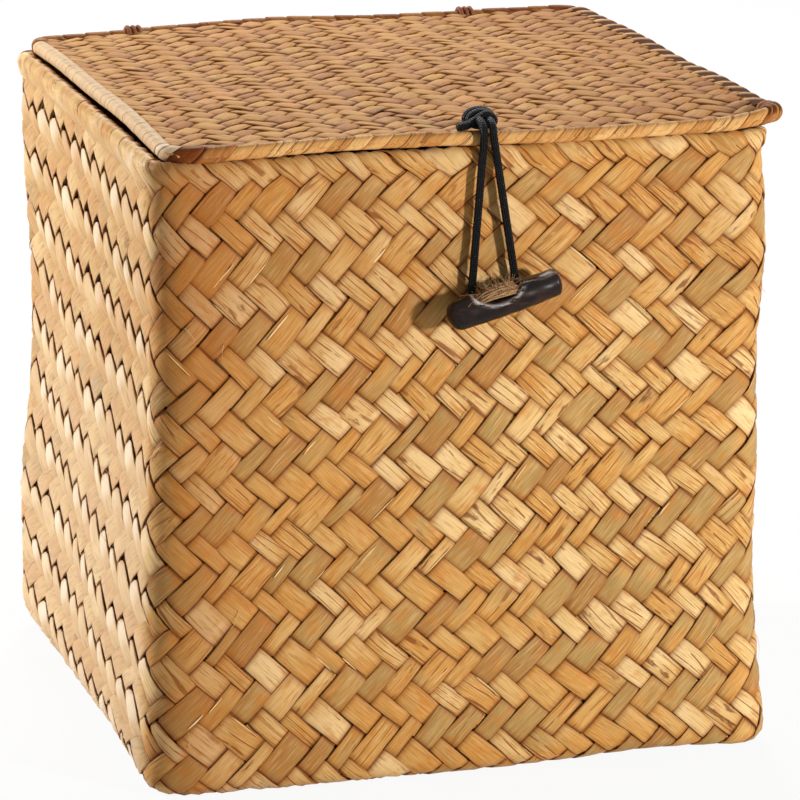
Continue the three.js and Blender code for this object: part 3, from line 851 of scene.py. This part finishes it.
# A line round the lid's edge at the wire, following the lid's lift; it bulges on the right and curls up at
# the front right corner
def lidEdge(share):
    x, y, nx, ny = ringPoint(share, lidRoll["halfX"], lidRoll["halfY"], lidRoll["corner"], lidRuns)
    curl = lidRoll["curl"] * hump(x, 98, 12) * hump(y, -100, 12)
    x = x + lid["middleX"] + lidRoll["bulge"] * ease(80, 98, x) * hump(y, -45, 50)
    return x, y, lidRoll["z"] + lidLift(x, y) + curl, nx, ny


# Wrap k: along the edge s = cut k + u * its length + slant * radius * sin(angle); the radius swells towards
# one end. A fold that stands apart runs at 45 degrees over the edge and has a lens-shaped hollow beside it
def makeLidRoll(cfg):
    cuts = np.concatenate([np.linspace(row[0], row[1], row[2] + 1)[:-1] for row in cfg["cuts"]])
    styles = np.concatenate([np.tile(row[3:], (row[2], 1)) for row in cfg["cuts"]])
    single = np.concatenate([np.full(row[2], row[2] == 1) for row in cfg["cuts"]])
    count = len(cuts)
    length = np.diff(np.append(cuts, 1 + cuts[0]))
    cuts = cuts + dice.uniform(-0.16, 0.16, count) * length * ~single
    length = np.diff(np.append(cuts, 1 + cuts[0]))[:, None, None]
    dark, pale, lines, apart, extra, veil = styles.T[:, :, None, None]
    plain = lines < 1  # wraps of the left side, smooth and with few lines
    u = np.array([-0.08, -0.01, 0.08, 0.22, 0.36, 0.5, 0.64, 0.8, 0.93, 1.0])[:, None]
    swell = np.array([-0.6, -0.16, -0.05, -0.02, 0.0, 0.03, 0.06, 0.08, 0.06, -0.4])[:, None]
    angle = np.arange(20) * 2 * np.pi / 20
    fat = dice.uniform(-0.12, 0.2, (count, 1, 1)) * lines + extra
    swell = swell * (1 - 0.7 * apart) * np.where(plain, 0.25, 1)
    hollow = apart * (1 - ease(0.5, 0.72, u)) * ease(-0.15, 0.45, np.sin(angle))
    radius = cfg["radius"] + swell + fat * ease(-0.6, 0.1, swell) - cfg["gapDepth"] * hollow
    radius = np.maximum(radius, cfg["core"])
    squarer = np.where(apart == 0, 0.8, 1.0)
    outer = np.sign(np.cos(angle)) * np.abs(np.cos(angle)) ** squarer
    higher = np.sign(np.sin(angle)) * np.abs(np.sin(angle)) ** squarer
    out = radius * outer * (1 + cfg["inwards"] * apart * (outer < 0))
    slant = cfg["slant"] * cfg["radius"] * np.sin(angle) * (1 - apart) - out * apart
    x, y, z, nx, ny = lidEdge(cuts[:, None, None] + length * u + slant / lidRuns.sum())
    points = xyz(x + nx * out, y + ny * out, z + radius * higher)
    draw = dice.uniform(0, 1, (3, count, 1, 1))
    tone = dark + (pale - dark) * (draw[1] * (1 - apart) + ease(0.6, 0.9, u) * apart)
    across = (2 * u - 1) * np.where(plain, 0.75, 0.88)
    # painted shade: dark seams between wraps, on the left side only as short lines, most on the lower half
    ticks = ease(1.1 * draw[2], -0.5, np.sin(angle))  # short lines, most on the lower half
    seam = 1 - ease(-0.06, np.where(single, 0.2, 0.03)[:, None, None], u)
    lift = 1 - seam * np.where(plain, 0.9 * ticks, 1.0)
    # painted shade in the hollow beside each fold
    lift = lift * (1 - 0.97 * ease(0.1, 0.5, hollow))
    place = (across, angle * cfg["radius"], draw[0] * 50)
    marks = rushMarks(points.shape[:-1], place, (tone, 0.6 * draw[2], 0.0), lift, veil)
    addPiece("lid_edge_wraps", points, marks, rollRush, "lid", ("lid_binding",))


makeLidRoll(lidRoll)
print("lid edge wrapped")

# Edge wires inside the rolls
wire = {"radius": 0.9, "steps": 400}


def wireMaterial():
    material, start = newMaterial("drawnWire")
    rough = 0.3 + 0.25 * noise(start, start.node("TexCoord", out="Object"), 900.0, 2.0)
    closeMaterial(start, {"Base Color": tint(150, 150, 150), "Metallic": 1.0, "Roughness": rough})
    return material


def makeWires():
    steel = wireMaterial()
    share = np.linspace(0, 1, wire["steps"])
    points, marks = sweep(xyz(*lidEdge(share)[:3]), (0, 0, 1), wire["radius"], 8)
    addPiece("lid_edge_wire", points, marks, steel, "lid", ("lid_wire",))
    inset = wallBulge(share, wall["rim"])
    x, y = ringPoint(share, wall["halfX"] + inset, wall["halfY"] + inset, wall["corner"], wallRuns)[:2]
    points, marks = sweep(xyz(x, y, wall["rim"] - sunk(x, y)), (0, 0, 1), wire["radius"], 8)
    addPiece("rim_edge_wire", points, marks, steel, "box", ("rim_wire",))


makeWires()
print("wires placed")

# Closure sizes, as in the solids; only the elastic is a little thinner, as wide as in the photograph
closure = {
    "lidZ": 208.1, "edgeY": 101.9, "reach": 4.4, "knotX": 5.7, "strands": 3.1, "cord": 1.25,
    "toggleX": 7, "toggleY": -113.5, "toggleZ": 156.4, "tilt": 15.5, "roll": 15, "offset": 2.3,
    "length": 39, "short": 1.2, "barrel": 5.1, "end": 4.3, "scoop": 11.5, "scoopDepth": 3.7, "scoopRoll": 58,
    "leg": 4.8, "jute": 1.6, "wallKnot": 17.4, "clear": 0.3,
    # where the strands come out of the knot: from its middle, in y, and over the lid
    "inKnot": ((1.4, -94.5, 4.2), (1.45, -98.5, 4.7)),
    "bendRun": 10,  # the span from the lid's edge to this far below it, passed as the elastic's bend and not used further
    "twist": (5.8, 1.0),  # from where to where behind the toggle's middle, passed as the tie's bend and not used further
}


# Turned frame of the toggle: rows are its own x, y and z directions
def toggleAxes():
    tilt, roll = np.radians(-closure["tilt"]), np.radians(-closure["roll"])
    aboutY = np.array([[np.cos(tilt), 0, np.sin(tilt)], [0, 1, 0], [-np.sin(tilt), 0, np.cos(tilt)]])
    aboutX = np.array([[1, 0, 0], [0, np.cos(roll), -np.sin(roll)], [0, np.sin(roll), np.cos(roll)]])
    return (aboutY @ aboutX).T


axes = toggleAxes()
togglePlace = np.array([closure["toggleX"], closure["toggleY"], closure["toggleZ"]])


def fromToggle(points):
    return np.asarray(points, float) @ axes + togglePlace


# Dark turned wood with a dull polish, pale along its carved edges: painted highlights that also read as wear
def woodMaterial():
    material, start = newMaterial("darkWood")
    place = start.node("TexCoord", out="Object")
    along = {"Vector": place, "Rotation": (0, np.radians(closure["tilt"]), 0), "Scale": (60, 420, 420)}
    grain = noise(start, start.node("Mapping", along), 1.0, 5.0, 0.65)
    patch = noise(start, place, 130.0, 3.0)
    colour = colourMix(softStep(patch, 0.42, 0.66), tint(20, 11, 8), tint(46, 23, 15))
    colour = colourMix(softStep(grain, 0.54, 0.72) * 0.6, colour, tint(66, 38, 27))
    worn = mark(start, "worn", "Fac") * softStep(grain, 0.46, 0.56)
    colour = colourMix(worn * 0.9, colour, tint(216, 206, 200))
    closeMaterial(start, {
        "Base Color": colour,
        "Roughness": 0.2 + 0.2 * grain,
        "Specular IOR Level": 0.17,
        "Normal": bumps(start, grain + patch, 0.3, 0.0003),
    })
    return material


carving = {
    "leftRound": 3.4, "rightRound": 1.9,  # length of the rounded ends
    "flat": 3.9, "flatRoll": 24,  # the flat looks further up than the scoop
    "hollow": 15.6, "hollowTurn": 0.16, "hollowLength": 2.6, "hollowWidth": 0.2, "hollowDepth": 0.7,
    "soft": 0.22, "rough": 0.09,
}


# Barrel: radius along the axis, rounder at the left end; the scoop limits it to the face of a cross
# cylinder, a flat runs from the scoop to the right end, and a small hollow lies beside it
def makeToggle(cfg):
    along = np.sin(np.linspace(-np.pi / 2, np.pi / 2, 141))
    angle = np.arange(72) * 2 * np.pi / 72
    x = -cfg["length"] / 2 + (along + 1) / 2 * (cfg["length"] - cfg["short"])
    body = cfg["end"] + (cfg["barrel"] - cfg["end"]) * np.sqrt(np.clip(1 - along**2, 0, 1))
    body = body - 0.3 * ease(0.2, 1, along)
    leftEnd = np.clip((x - x[0]) / carving["leftRound"], 0, 1)
    rightEnd = np.clip((x[-1] - x) / carving["rightRound"], 0, 1)
    fromEnd = np.minimum(leftEnd, rightEnd)
    radius = (body * (0.02 + 0.98 * np.sqrt(1 - (1 - fromEnd) ** 2)))[:, None]
    facing = np.cos(angle)
    centre = cfg["barrel"] + cfg["scoop"] - cfg["scoopDepth"]
    fromTie = x + cfg["offset"]
    floor = centre - np.sqrt(np.clip(cfg["scoop"] ** 2 - fromTie**2, 0, None))
    flat = np.radians(carving["flatRoll"])
    flatFace = carving["flat"] + 0.9 * ease(15, 20, fromTie) + 9 * ease(9, 5, fromTie)
    limits = [
        np.where(facing > 0.05, floor[:, None] / np.maximum(facing, 0.05), 99),
        flatFace[:, None] / np.maximum(np.cos(angle - flat), 0.05) + 0 * radius,
    ]
    both = np.stack(np.broadcast_arrays(radius, *limits))
    # painted highlights, also read as wear, along the edges of the scoop and the flat, most below
    highlightWidth = 0.5 + 0.7 * ease(0, -0.7, np.sin(angle))
    worn = hump(radius - both[1:].min(0), 0, highlightWidth)
    soft = carving["soft"]
    radius = -soft * np.log(np.exp(-np.minimum(both, 60) / soft).sum(0))
    hollow = hump(fromTie, carving["hollow"], carving["hollowLength"])[:, None]
    hollow = hollow * hump(angle, 2 * np.pi - carving["hollowTurn"], carving["hollowWidth"])
    rough = np.sin(x / 1.7 + 1)[:, None] * np.sin(angle * 3 + x[:, None] / 2.3)
    # painted highlight ringing the small hollow
    worn = np.maximum(worn, 3.6 * hollow * (1 - hollow))
    radius = radius + (carving["rough"] * rough - carving["hollowDepth"] * hollow) * fromEnd[:, None]
    lean = np.radians(cfg["scoopRoll"])
    out, up = radius * facing, radius * np.sin(angle)
    y = -(out * np.cos(lean) - up * np.sin(lean))
    z = out * np.sin(lean) + up * np.cos(lean)
    points = fromToggle(xyz(fromTie[:, None], y, z))
    addPiece("carved_toggle", points, {"worn": worn}, woodMaterial(), "toggle", ("toggle",))


makeToggle(closure)
print("toggle carved")


# Twisted fibre: plies wind round the cord, with paler and darker hairs along the twist
def juteMaterial(name, tones):
    material, start = newMaterial(name)
    spot = start.node("Mapping", {"Vector": mark(start, "place"), "Scale": (2.4, 2.4, 0.5)})
    fibre = noise(start, spot, 2.0, 4.0, 0.7)
    colour = start.node("ValToRGB", {0: fibre}, {"stops": list(zip((0.32, 0.48, 0.68), tones))})
    rough = 0.75 + 0.2 * fibre
    closeMaterial(start, {"Base Color": colour, "Roughness": rough, "Normal": bumps(start, fibre, 0.7)})
    return material


jute = juteMaterial("juteFibre", [tint(84, 52, 26), tint(168, 120, 72), tint(234, 198, 150)])
redJute = juteMaterial("redJute", [tint(92, 44, 26), tint(150, 84, 50), tint(196, 134, 88)])


# Plied cord: the section has a lobe for each ply, and the lobes turn as they go along
def pliedCord(path, guide, radius, plies, twist, around):
    along = pathLength(path)[:, None]
    angle = np.arange(around) * 2 * np.pi / around
    lobe = np.abs(np.cos(plies / 2 * (angle + along * 2 * np.pi / twist)))
    return sweep(path, guide, radius * (0.8 + 0.26 * lobe**0.7), around)


# Loose hairs: short arcs that leave a cord and bend away
def hairs(roots, away, length, bend, thick, steps=7):
    count = len(roots)
    t = np.linspace(0, 1, steps)[None, :, None]
    sizes = length * dice.uniform(0.5, 1.3, (count, 1, 1))
    turned = unit(np.cross(away, dice.normal(size=(count, 3))))[:, None]
    paths = roots[:, None] + sizes * (t * away[:, None] + bend * t**2 * turned)
    guide = unit(np.cross(away, dice.normal(size=(count, 3))))[:, None]
    return sweep(paths, guide, thick * (1 - 0.6 * t), 4)


# Stray fibres of rush that stand off the walls
strays = {"count": 34, "length": 7.0, "thick": 0.11}


def makeStrays(cfg):
    count = cfg["count"]
    s = dice.uniform(0, wall["round"], count)
    v = dice.uniform(-180, -20, count)
    out = wall["rise"] + wall["thick"] / 2
    roots = wallPlace(s, v, np.full(count, out))
    normal = unit(wallPlace(s, v, np.full(count, out + 1)) - roots)
    away = unit(unit(np.cross(normal, dice.normal(size=(count, 3)))) + 0.45 * normal)
    points, marks = hairs(roots, away, cfg["length"], 0.4, cfg["thick"])
    across, seed, along = np.moveaxis(marks["place"], -1, 0)
    marks = rushMarks(points.shape[:-1], (across * 0.2, along, seed), (1.0, 0.2, 0.0), 1.0)
    addPiece("wall_stray_fibres", points, marks, wallRush, "box")


makeStrays(strays)

# Frayed jute in the scoop: strands over the tie and wisps that stand off it
nest = {"strands": 110, "width": 3.0, "low": 1.2, "high": 2.3, "thick": 0.16, "wisps": 70, "wispLength": 5.2}


# Outwards and upwards in the scoop, and the depth of its floor, in the toggle's own frame
def scoopFrame(cfg):
    lean = np.radians(cfg["scoopRoll"])
    outwards = np.array([0, -np.cos(lean), np.sin(lean)])
    upwards = np.array([0, np.sin(lean), np.cos(lean)])
    return outwards, upwards, cfg["barrel"] - cfg["scoopDepth"] + cfg["clear"]


# Tie: from its knot inside the wall, out through the barrel, across the scoop and back
def makeTie(cfg):
    outwards, _, bed = scoopFrame(cfg)
    over = outwards * (bed + cfg["jute"])
    spots = []
    for x in (-cfg["leg"], cfg["leg"]):
        leg = [(x, cfg["wallKnot"] * share, 0) for share in (1, 0.75, 0.5, 0.25, 0.05)]
        leg += [(x * 0.98, *(over * 0.6)[1:]), (x * 0.72, *(over * 0.95)[1:])]
        spots.append(leg)
    path = smoothPath(spots[0] + [tuple(over)] + spots[1][::-1], 150)
    points, marks = pliedCord(path, (0, 0, 1), cfg["jute"], 3, 7.0, 24)
    start, end = [(cfg["toggleX"], cfg["toggleY"] + gap, cfg["toggleZ"]) for gap in cfg["twist"]]
    bend = ("box", "toggle", start, end)
    addPiece("jute_tie", fromToggle(points), marks, jute, None, ("toggle_tie",), bend)


# Strands lie from leg to leg in a low arch, higher in the middle of the bundle
def makeNest(cfg):
    outwards, upwards, bed = scoopFrame(closure)
    leg = closure["leg"]
    lie = np.linspace(-1, 1, 17)[None, :, None]
    draw = dice.uniform(-1, 1, (cfg["strands"], 1, 4))
    first, second, third, fourth = (draw[..., i:i + 1] for i in range(4))
    arch = 1 - np.abs(lie) ** 2.5
    across = cfg["width"] * second * (0.55 + 0.45 * arch) + 0.4 * np.sin(2.5 * lie + 6 * third)
    tall = cfg["low"] + cfg["high"] * np.sqrt(np.clip(1 - second**2, 0, 1))
    above = bed + 0.2 + tall * (0.25 + 0.75 * arch) * (0.9 + 0.1 * fourth)
    reach = lie * leg * (1.3 + 0.3 * first) + 0.8 * third + 0.25 * across
    paths = reach * (1, 0, 0) + above * outwards + across * upwards
    points, marks = sweep(paths, (0, 0.3, 1), cfg["thick"] * (1 + fourth / 2), 6)
    marks["place"] = marks["place"] + 60 * draw[..., None, :3]
    addPiece("jute_bundle", fromToggle(points), marks, jute, "toggle")
    at = dice.uniform(-1, 1, (cfg["wisps"], 2))
    roots = at[:, :1] * (leg * 1.1, 0, 0) + outwards * (bed + 1.2) + 2.2 * at[:, 1:] * upwards
    spray = dice.normal(size=(cfg["wisps"], 3)) * (1.3, 0.4, 0.6)
    away = unit(spray + outwards * 0.7 + (-0.6, 0, 0.4))
    points, marks = hairs(roots, away, cfg["wispLength"], 0.9, 0.13)
    addPiece("jute_hairs", fromToggle(points), marks, jute, "toggle")


# The tie's knot inside the wall: a fat roll, smaller at both ends
fatKnot = {
    "spots": [(-6.5, 17.6, 0), (-3, 17.9, 0.8), (0, 17.3, -0.8), (3, 17.9, 0.8), (6.5, 17.6, 0)],
    "radius": 2.3, "smaller": 0.35, "steps": 40,
}


def makeWallKnot(cfg):
    path = fromToggle(smoothPath(cfg["spots"], cfg["steps"]))
    radius = cfg["radius"] * (1 - cfg["smaller"] * np.linspace(-1, 1, cfg["steps"])[:, None] ** 8)
    points, marks = pliedCord(path, axes[1], radius, 3, 9.0, 18)
    addPiece("jute_wall_knot", points, marks, jute, "box")


makeTie(closure)
makeNest(nest)
makeWallKnot(fatKnot)
print("jute tie made")


# Braided elastic: diagonal stitches both ways round the cord, black, with painted shade in the grooves
# between stitches and pale flecks on their crests that are partly worn fibres and partly painted highlights
def elasticMaterial():
    material, start = newMaterial("blackElastic")
    place = mark(start, "place")
    turn = start.node("SeparateXYZ", {0: place})
    along = turn.pick("Z")
    angle = start.sums("ARCTAN2", turn.pick("Y"), turn)
    oneWay = start.sums("SINE", angle * 6 + along * 4.2, 0.0)
    otherWay = start.sums("SINE", angle * 6 - along * 4.2, 0.0)
    braid = oneWay * otherWay
    fleck = noise(start, place, 2.6, 4.0, 0.8)
    worn = softStep(fleck, 0.56, 0.72) * softStep(braid, 0.0, 0.7)
    colour = colourMix(softStep(braid, -0.8, 0.6), tint(7, 7, 8), tint(22, 22, 24))
    colour = colourMix(worn * 0.7, colour, tint(140, 140, 142))
    closeMaterial(start, {
        "Base Color": colour,
        "Roughness": 0.4 + 0.2 * fleck,
        "Specular IOR Level": 0.15,
        "Normal": bumps(start, braid, 0.9),
    })
    return material


elastic = elasticMaterial()


# Loop: out of the knot, over the lid's edge, down both sides of the tie and under its legs
def makeLoop(cfg):
    loopY = -cfg["edgeY"] - cfg["reach"]
    seat = fromToggle([0, (loopY - cfg["toggleY"]) / np.cos(np.radians(cfg["roll"])), 0])
    across = axes[0]
    upwards = np.array([-across[2], 0, across[0]])
    turn = cfg["jute"] / np.cos(np.radians(cfg["roll"])) + cfg["clear"] + cfg["cord"]
    edgeZ = cfg["lidZ"] - sunk(cfg["knotX"], -cfg["edgeY"])
    strands = []
    for side in (-1, 1):
        x = cfg["knotX"] + side * cfg["strands"] / 2
        spots = [(cfg["knotX"] + side * gap, y, edgeZ + up) for gap, y, up in cfg["inKnot"]]
        for angle in np.radians([8, 34, 62, 90]):
            out, up = cfg["reach"] * np.sin(angle), cfg["reach"] * np.cos(angle)
            spots.append((x, -cfg["edgeY"] - out, edgeZ + up))
        leg = seat + across * side * cfg["leg"]
        above, beside = np.array(spots[-1]), leg + across * side * turn
        spots += [above + (beside - above) * share for share in (0.2, 0.4, 0.6, 0.8, 0.93)]
        for angle in np.radians([0, 45, 90]):
            spots.append(leg + turn * (across * side * np.cos(angle) - upwards * np.sin(angle)))
        strands.append(spots)
    path = smoothPath(strands[0] + strands[1][::-1], 260)
    low = ease(195, 206, path[:, 2:])
    guide = low * np.array([1, 0, 0]) + (1 - low) * np.array([0, 1, 0])
    points, marks = sweep(path, guide, cfg["cord"], 16)
    start = np.array([cfg["knotX"], -cfg["edgeY"], edgeZ + cfg["reach"]])
    end = start - (0, cfg["reach"], cfg["reach"] + cfg["bendRun"])
    bend = ("lid", "loop", start, end)
    addPiece("elastic_strands", points, marks, elastic, None, ("elastic_loop",), bend)


# Knot: a coil that arches over the strands, smaller towards the front, and a cut end lying to the left
knot = {
    "y": -93.4, "run": 6.4, "z": 211.9, "wide": (4.4, 3.6), "tall": (2.7, 2.1), "from": -60, "turn": 860,
    "tail": [(1.2, -100.4, 211.4), (-1.0, -100.8, 210.9), (-3.0, -101.2, 210.5)],
    "stopperY": -92.95, "stopperZ": 204.4, "stopperCord": 0.95,
}


def makeKnot(cfg):
    t = np.linspace(0, 1, 34)
    angle = np.radians(cfg["from"] + cfg["turn"] * t)
    down = np.array([0, 0, sunk(closure["knotX"], -97)])
    wide, tall = (cfg[key][0] + (cfg[key][1] - cfg[key][0]) * t for key in ("wide", "tall"))
    rise = np.where(np.sin(angle) > 0, 1, 0.6) * np.sin(angle)
    x = closure["knotX"] + wide * np.cos(angle)
    coil = xyz(x, cfg["y"] - cfg["run"] * t + 0.5 * rise, cfg["z"] + tall * rise)
    path = smoothPath(np.vstack([coil, cfg["tail"]]) - down, 260)
    end = ease(0.985, 1.0, np.linspace(0, 1, 260))[:, None]
    points, marks = sweep(path, (0, 1, 0), closure["cord"] * (1.06 - 0.25 * end), 16)
    addPiece("elastic_knot", points, marks, elastic, "lid", ("loop_knot",))
    turn = np.linspace(0, 2 * np.pi, 90)
    ring = 1.3 + 0.6 * np.cos(3 * turn)  # the stopper is a three-lobed knot
    x, y = closure["knotX"] + ring * np.cos(2 * turn), cfg["stopperY"] + ring * np.sin(2 * turn)
    path = xyz(x, y, cfg["stopperZ"] + 0.75 * np.sin(3 * turn)) - down
    points, marks = sweep(path, (0, 0.02, 1), cfg["stopperCord"], 12)
    addPiece("elastic_stopper", points, marks, elastic, "lid", ("loop_stopper",))


makeLoop(closure)
makeKnot(knot)
print("elastic loop and knot made")

# Hinge ties: jute lashed round the rear rim and the lid's rear edge
lashing = {"turns": 3, "pitch": 1.9, "spacing": 120, "radius": 0.75, "low": 3.75, "high": 3.25, "rim": 202}


# Down the inside, half round under the rim, up the outside and half round over the lid's edge, while it
# steps sideways
def lashPath(cfg, rise):
    t = np.linspace(0, 1, 240)
    low, high = cfg["low"], cfg["high"]
    whole = np.pi * (low + high) + 2 * rise
    at = (t * cfg["turns"] % 1) * whole
    lowEnd, upEnd = rise + np.pi * low, 2 * rise + np.pi * low
    under, over = (at - rise) / low, (at - upEnd) / high
    parts = [at < rise, at < lowEnd, at < upEnd]
    down, up = at / rise, (at - lowEnd) / rise
    inside, outside = -high - (low - high) * down, low + (high - low) * up
    y = np.select(parts, [inside, -low * np.cos(under), outside], high * np.cos(over))
    z = np.select(parts, [rise - at, -low * np.sin(under), at - lowEnd], rise + high * np.sin(over))
    return xyz((t - 0.5) * cfg["turns"] * cfg["pitch"], y, z)


def makeLashings(cfg):
    for side, name in ((-1, "left"), (1, "right")):
        x = side * cfg["spacing"] / 2
        rise = lidRoll["z"] + lidLift(x, closure["edgeY"]) - cfg["rim"]
        spots = lashPath(cfg, rise) + (x, closure["edgeY"], cfg["rim"])
        points, marks = pliedCord(spots, (1, 0, 0), cfg["radius"], 2, 4.0, 12)
        addPiece(f"hinge_lashing_{name}", points, marks, redJute, "lid", (f"hinge_tie_{name}",))


makeLashings(lashing)
print("hinge lashings made")

# Stage: a pale floor that keeps the shadow, a white surround and soft lamps
stage = {"floor": 6.0, "surround": 0.1, "floorGlow": 0.92}
lamps = [
    ("keyLamp", (0.82, -1.32, 0.36), 0.14, 21.5),
    ("leftLamp", (-1.35, 1.25, 0.8), 0.35, 37.5),
    ("backLamp", (0.3, 1.3, 1.25), 0.6, 20),
]


# 1 for rays from the camera and for what is seen in a reflection or through glass
def seenRays(start):
    ray = start.node("LightPath", out="Is Camera Ray")
    seen = start.sums("MAXIMUM", ray, ray.pick("Is Glossy Ray"))
    return start.sums("MAXIMUM", seen, ray.pick("Is Transmission Ray"))


def addFloor():
    half = stage["floor"] / 2
    mesh = bpy.data.meshes.new("floor")
    corners = [(-half, -half, 0), (half, -half, 0), (half, half, 0), (-half, half, 0)]
    mesh.from_pydata(corners, [], [(0, 1, 2, 3)])
    floor = bpy.data.objects.new("floor", mesh)
    show(floor)
    material, start = newMaterial("paleFloor")
    lit = start.node("BsdfDiffuse", {"Color": (0.86, 0.86, 0.86, 1)})
    glow = start.node("Emission", {"Color": (1, 1, 1, 1), "Strength": 1.0})
    mix = start.node("MixShader", {0: seenRays(start) * stage["floorGlow"], 1: lit, 2: glow})
    start.node("OutputMaterial", {"Surface": mix})
    mesh.materials.append(material)


def addSurround():
    world = bpy.data.worlds.new("surround")
    bpy.context.scene.world = world
    world.use_nodes = True
    world.node_tree.nodes.clear()
    start = Wire(world.node_tree)
    soft = start.node("Background", {"Color": (1, 1, 1, 1), "Strength": stage["surround"]})
    white = start.node("Background", {"Color": (1, 1, 1, 1), "Strength": 1.0})
    mix = start.node("MixShader", {0: seenRays(start), 1: soft, 2: white})
    start.node("OutputWorld", {"Surface": mix})


def addLamp(name, place, size, power):
    data = bpy.data.lights.new(name, "AREA")
    data.shape = "DISK"
    data.size = size
    data.energy = power
    lamp = bpy.data.objects.new(name, data)
    lamp.location = place
    lamp.rotation_euler = (Vector((0, 0, 0.1)) - Vector(place)).to_track_quat("-Z", "Y").to_euler()
    show(lamp)


addFloor()
addSurround()
for lamp in lamps:
    addLamp(*lamp)
print("stage lit")
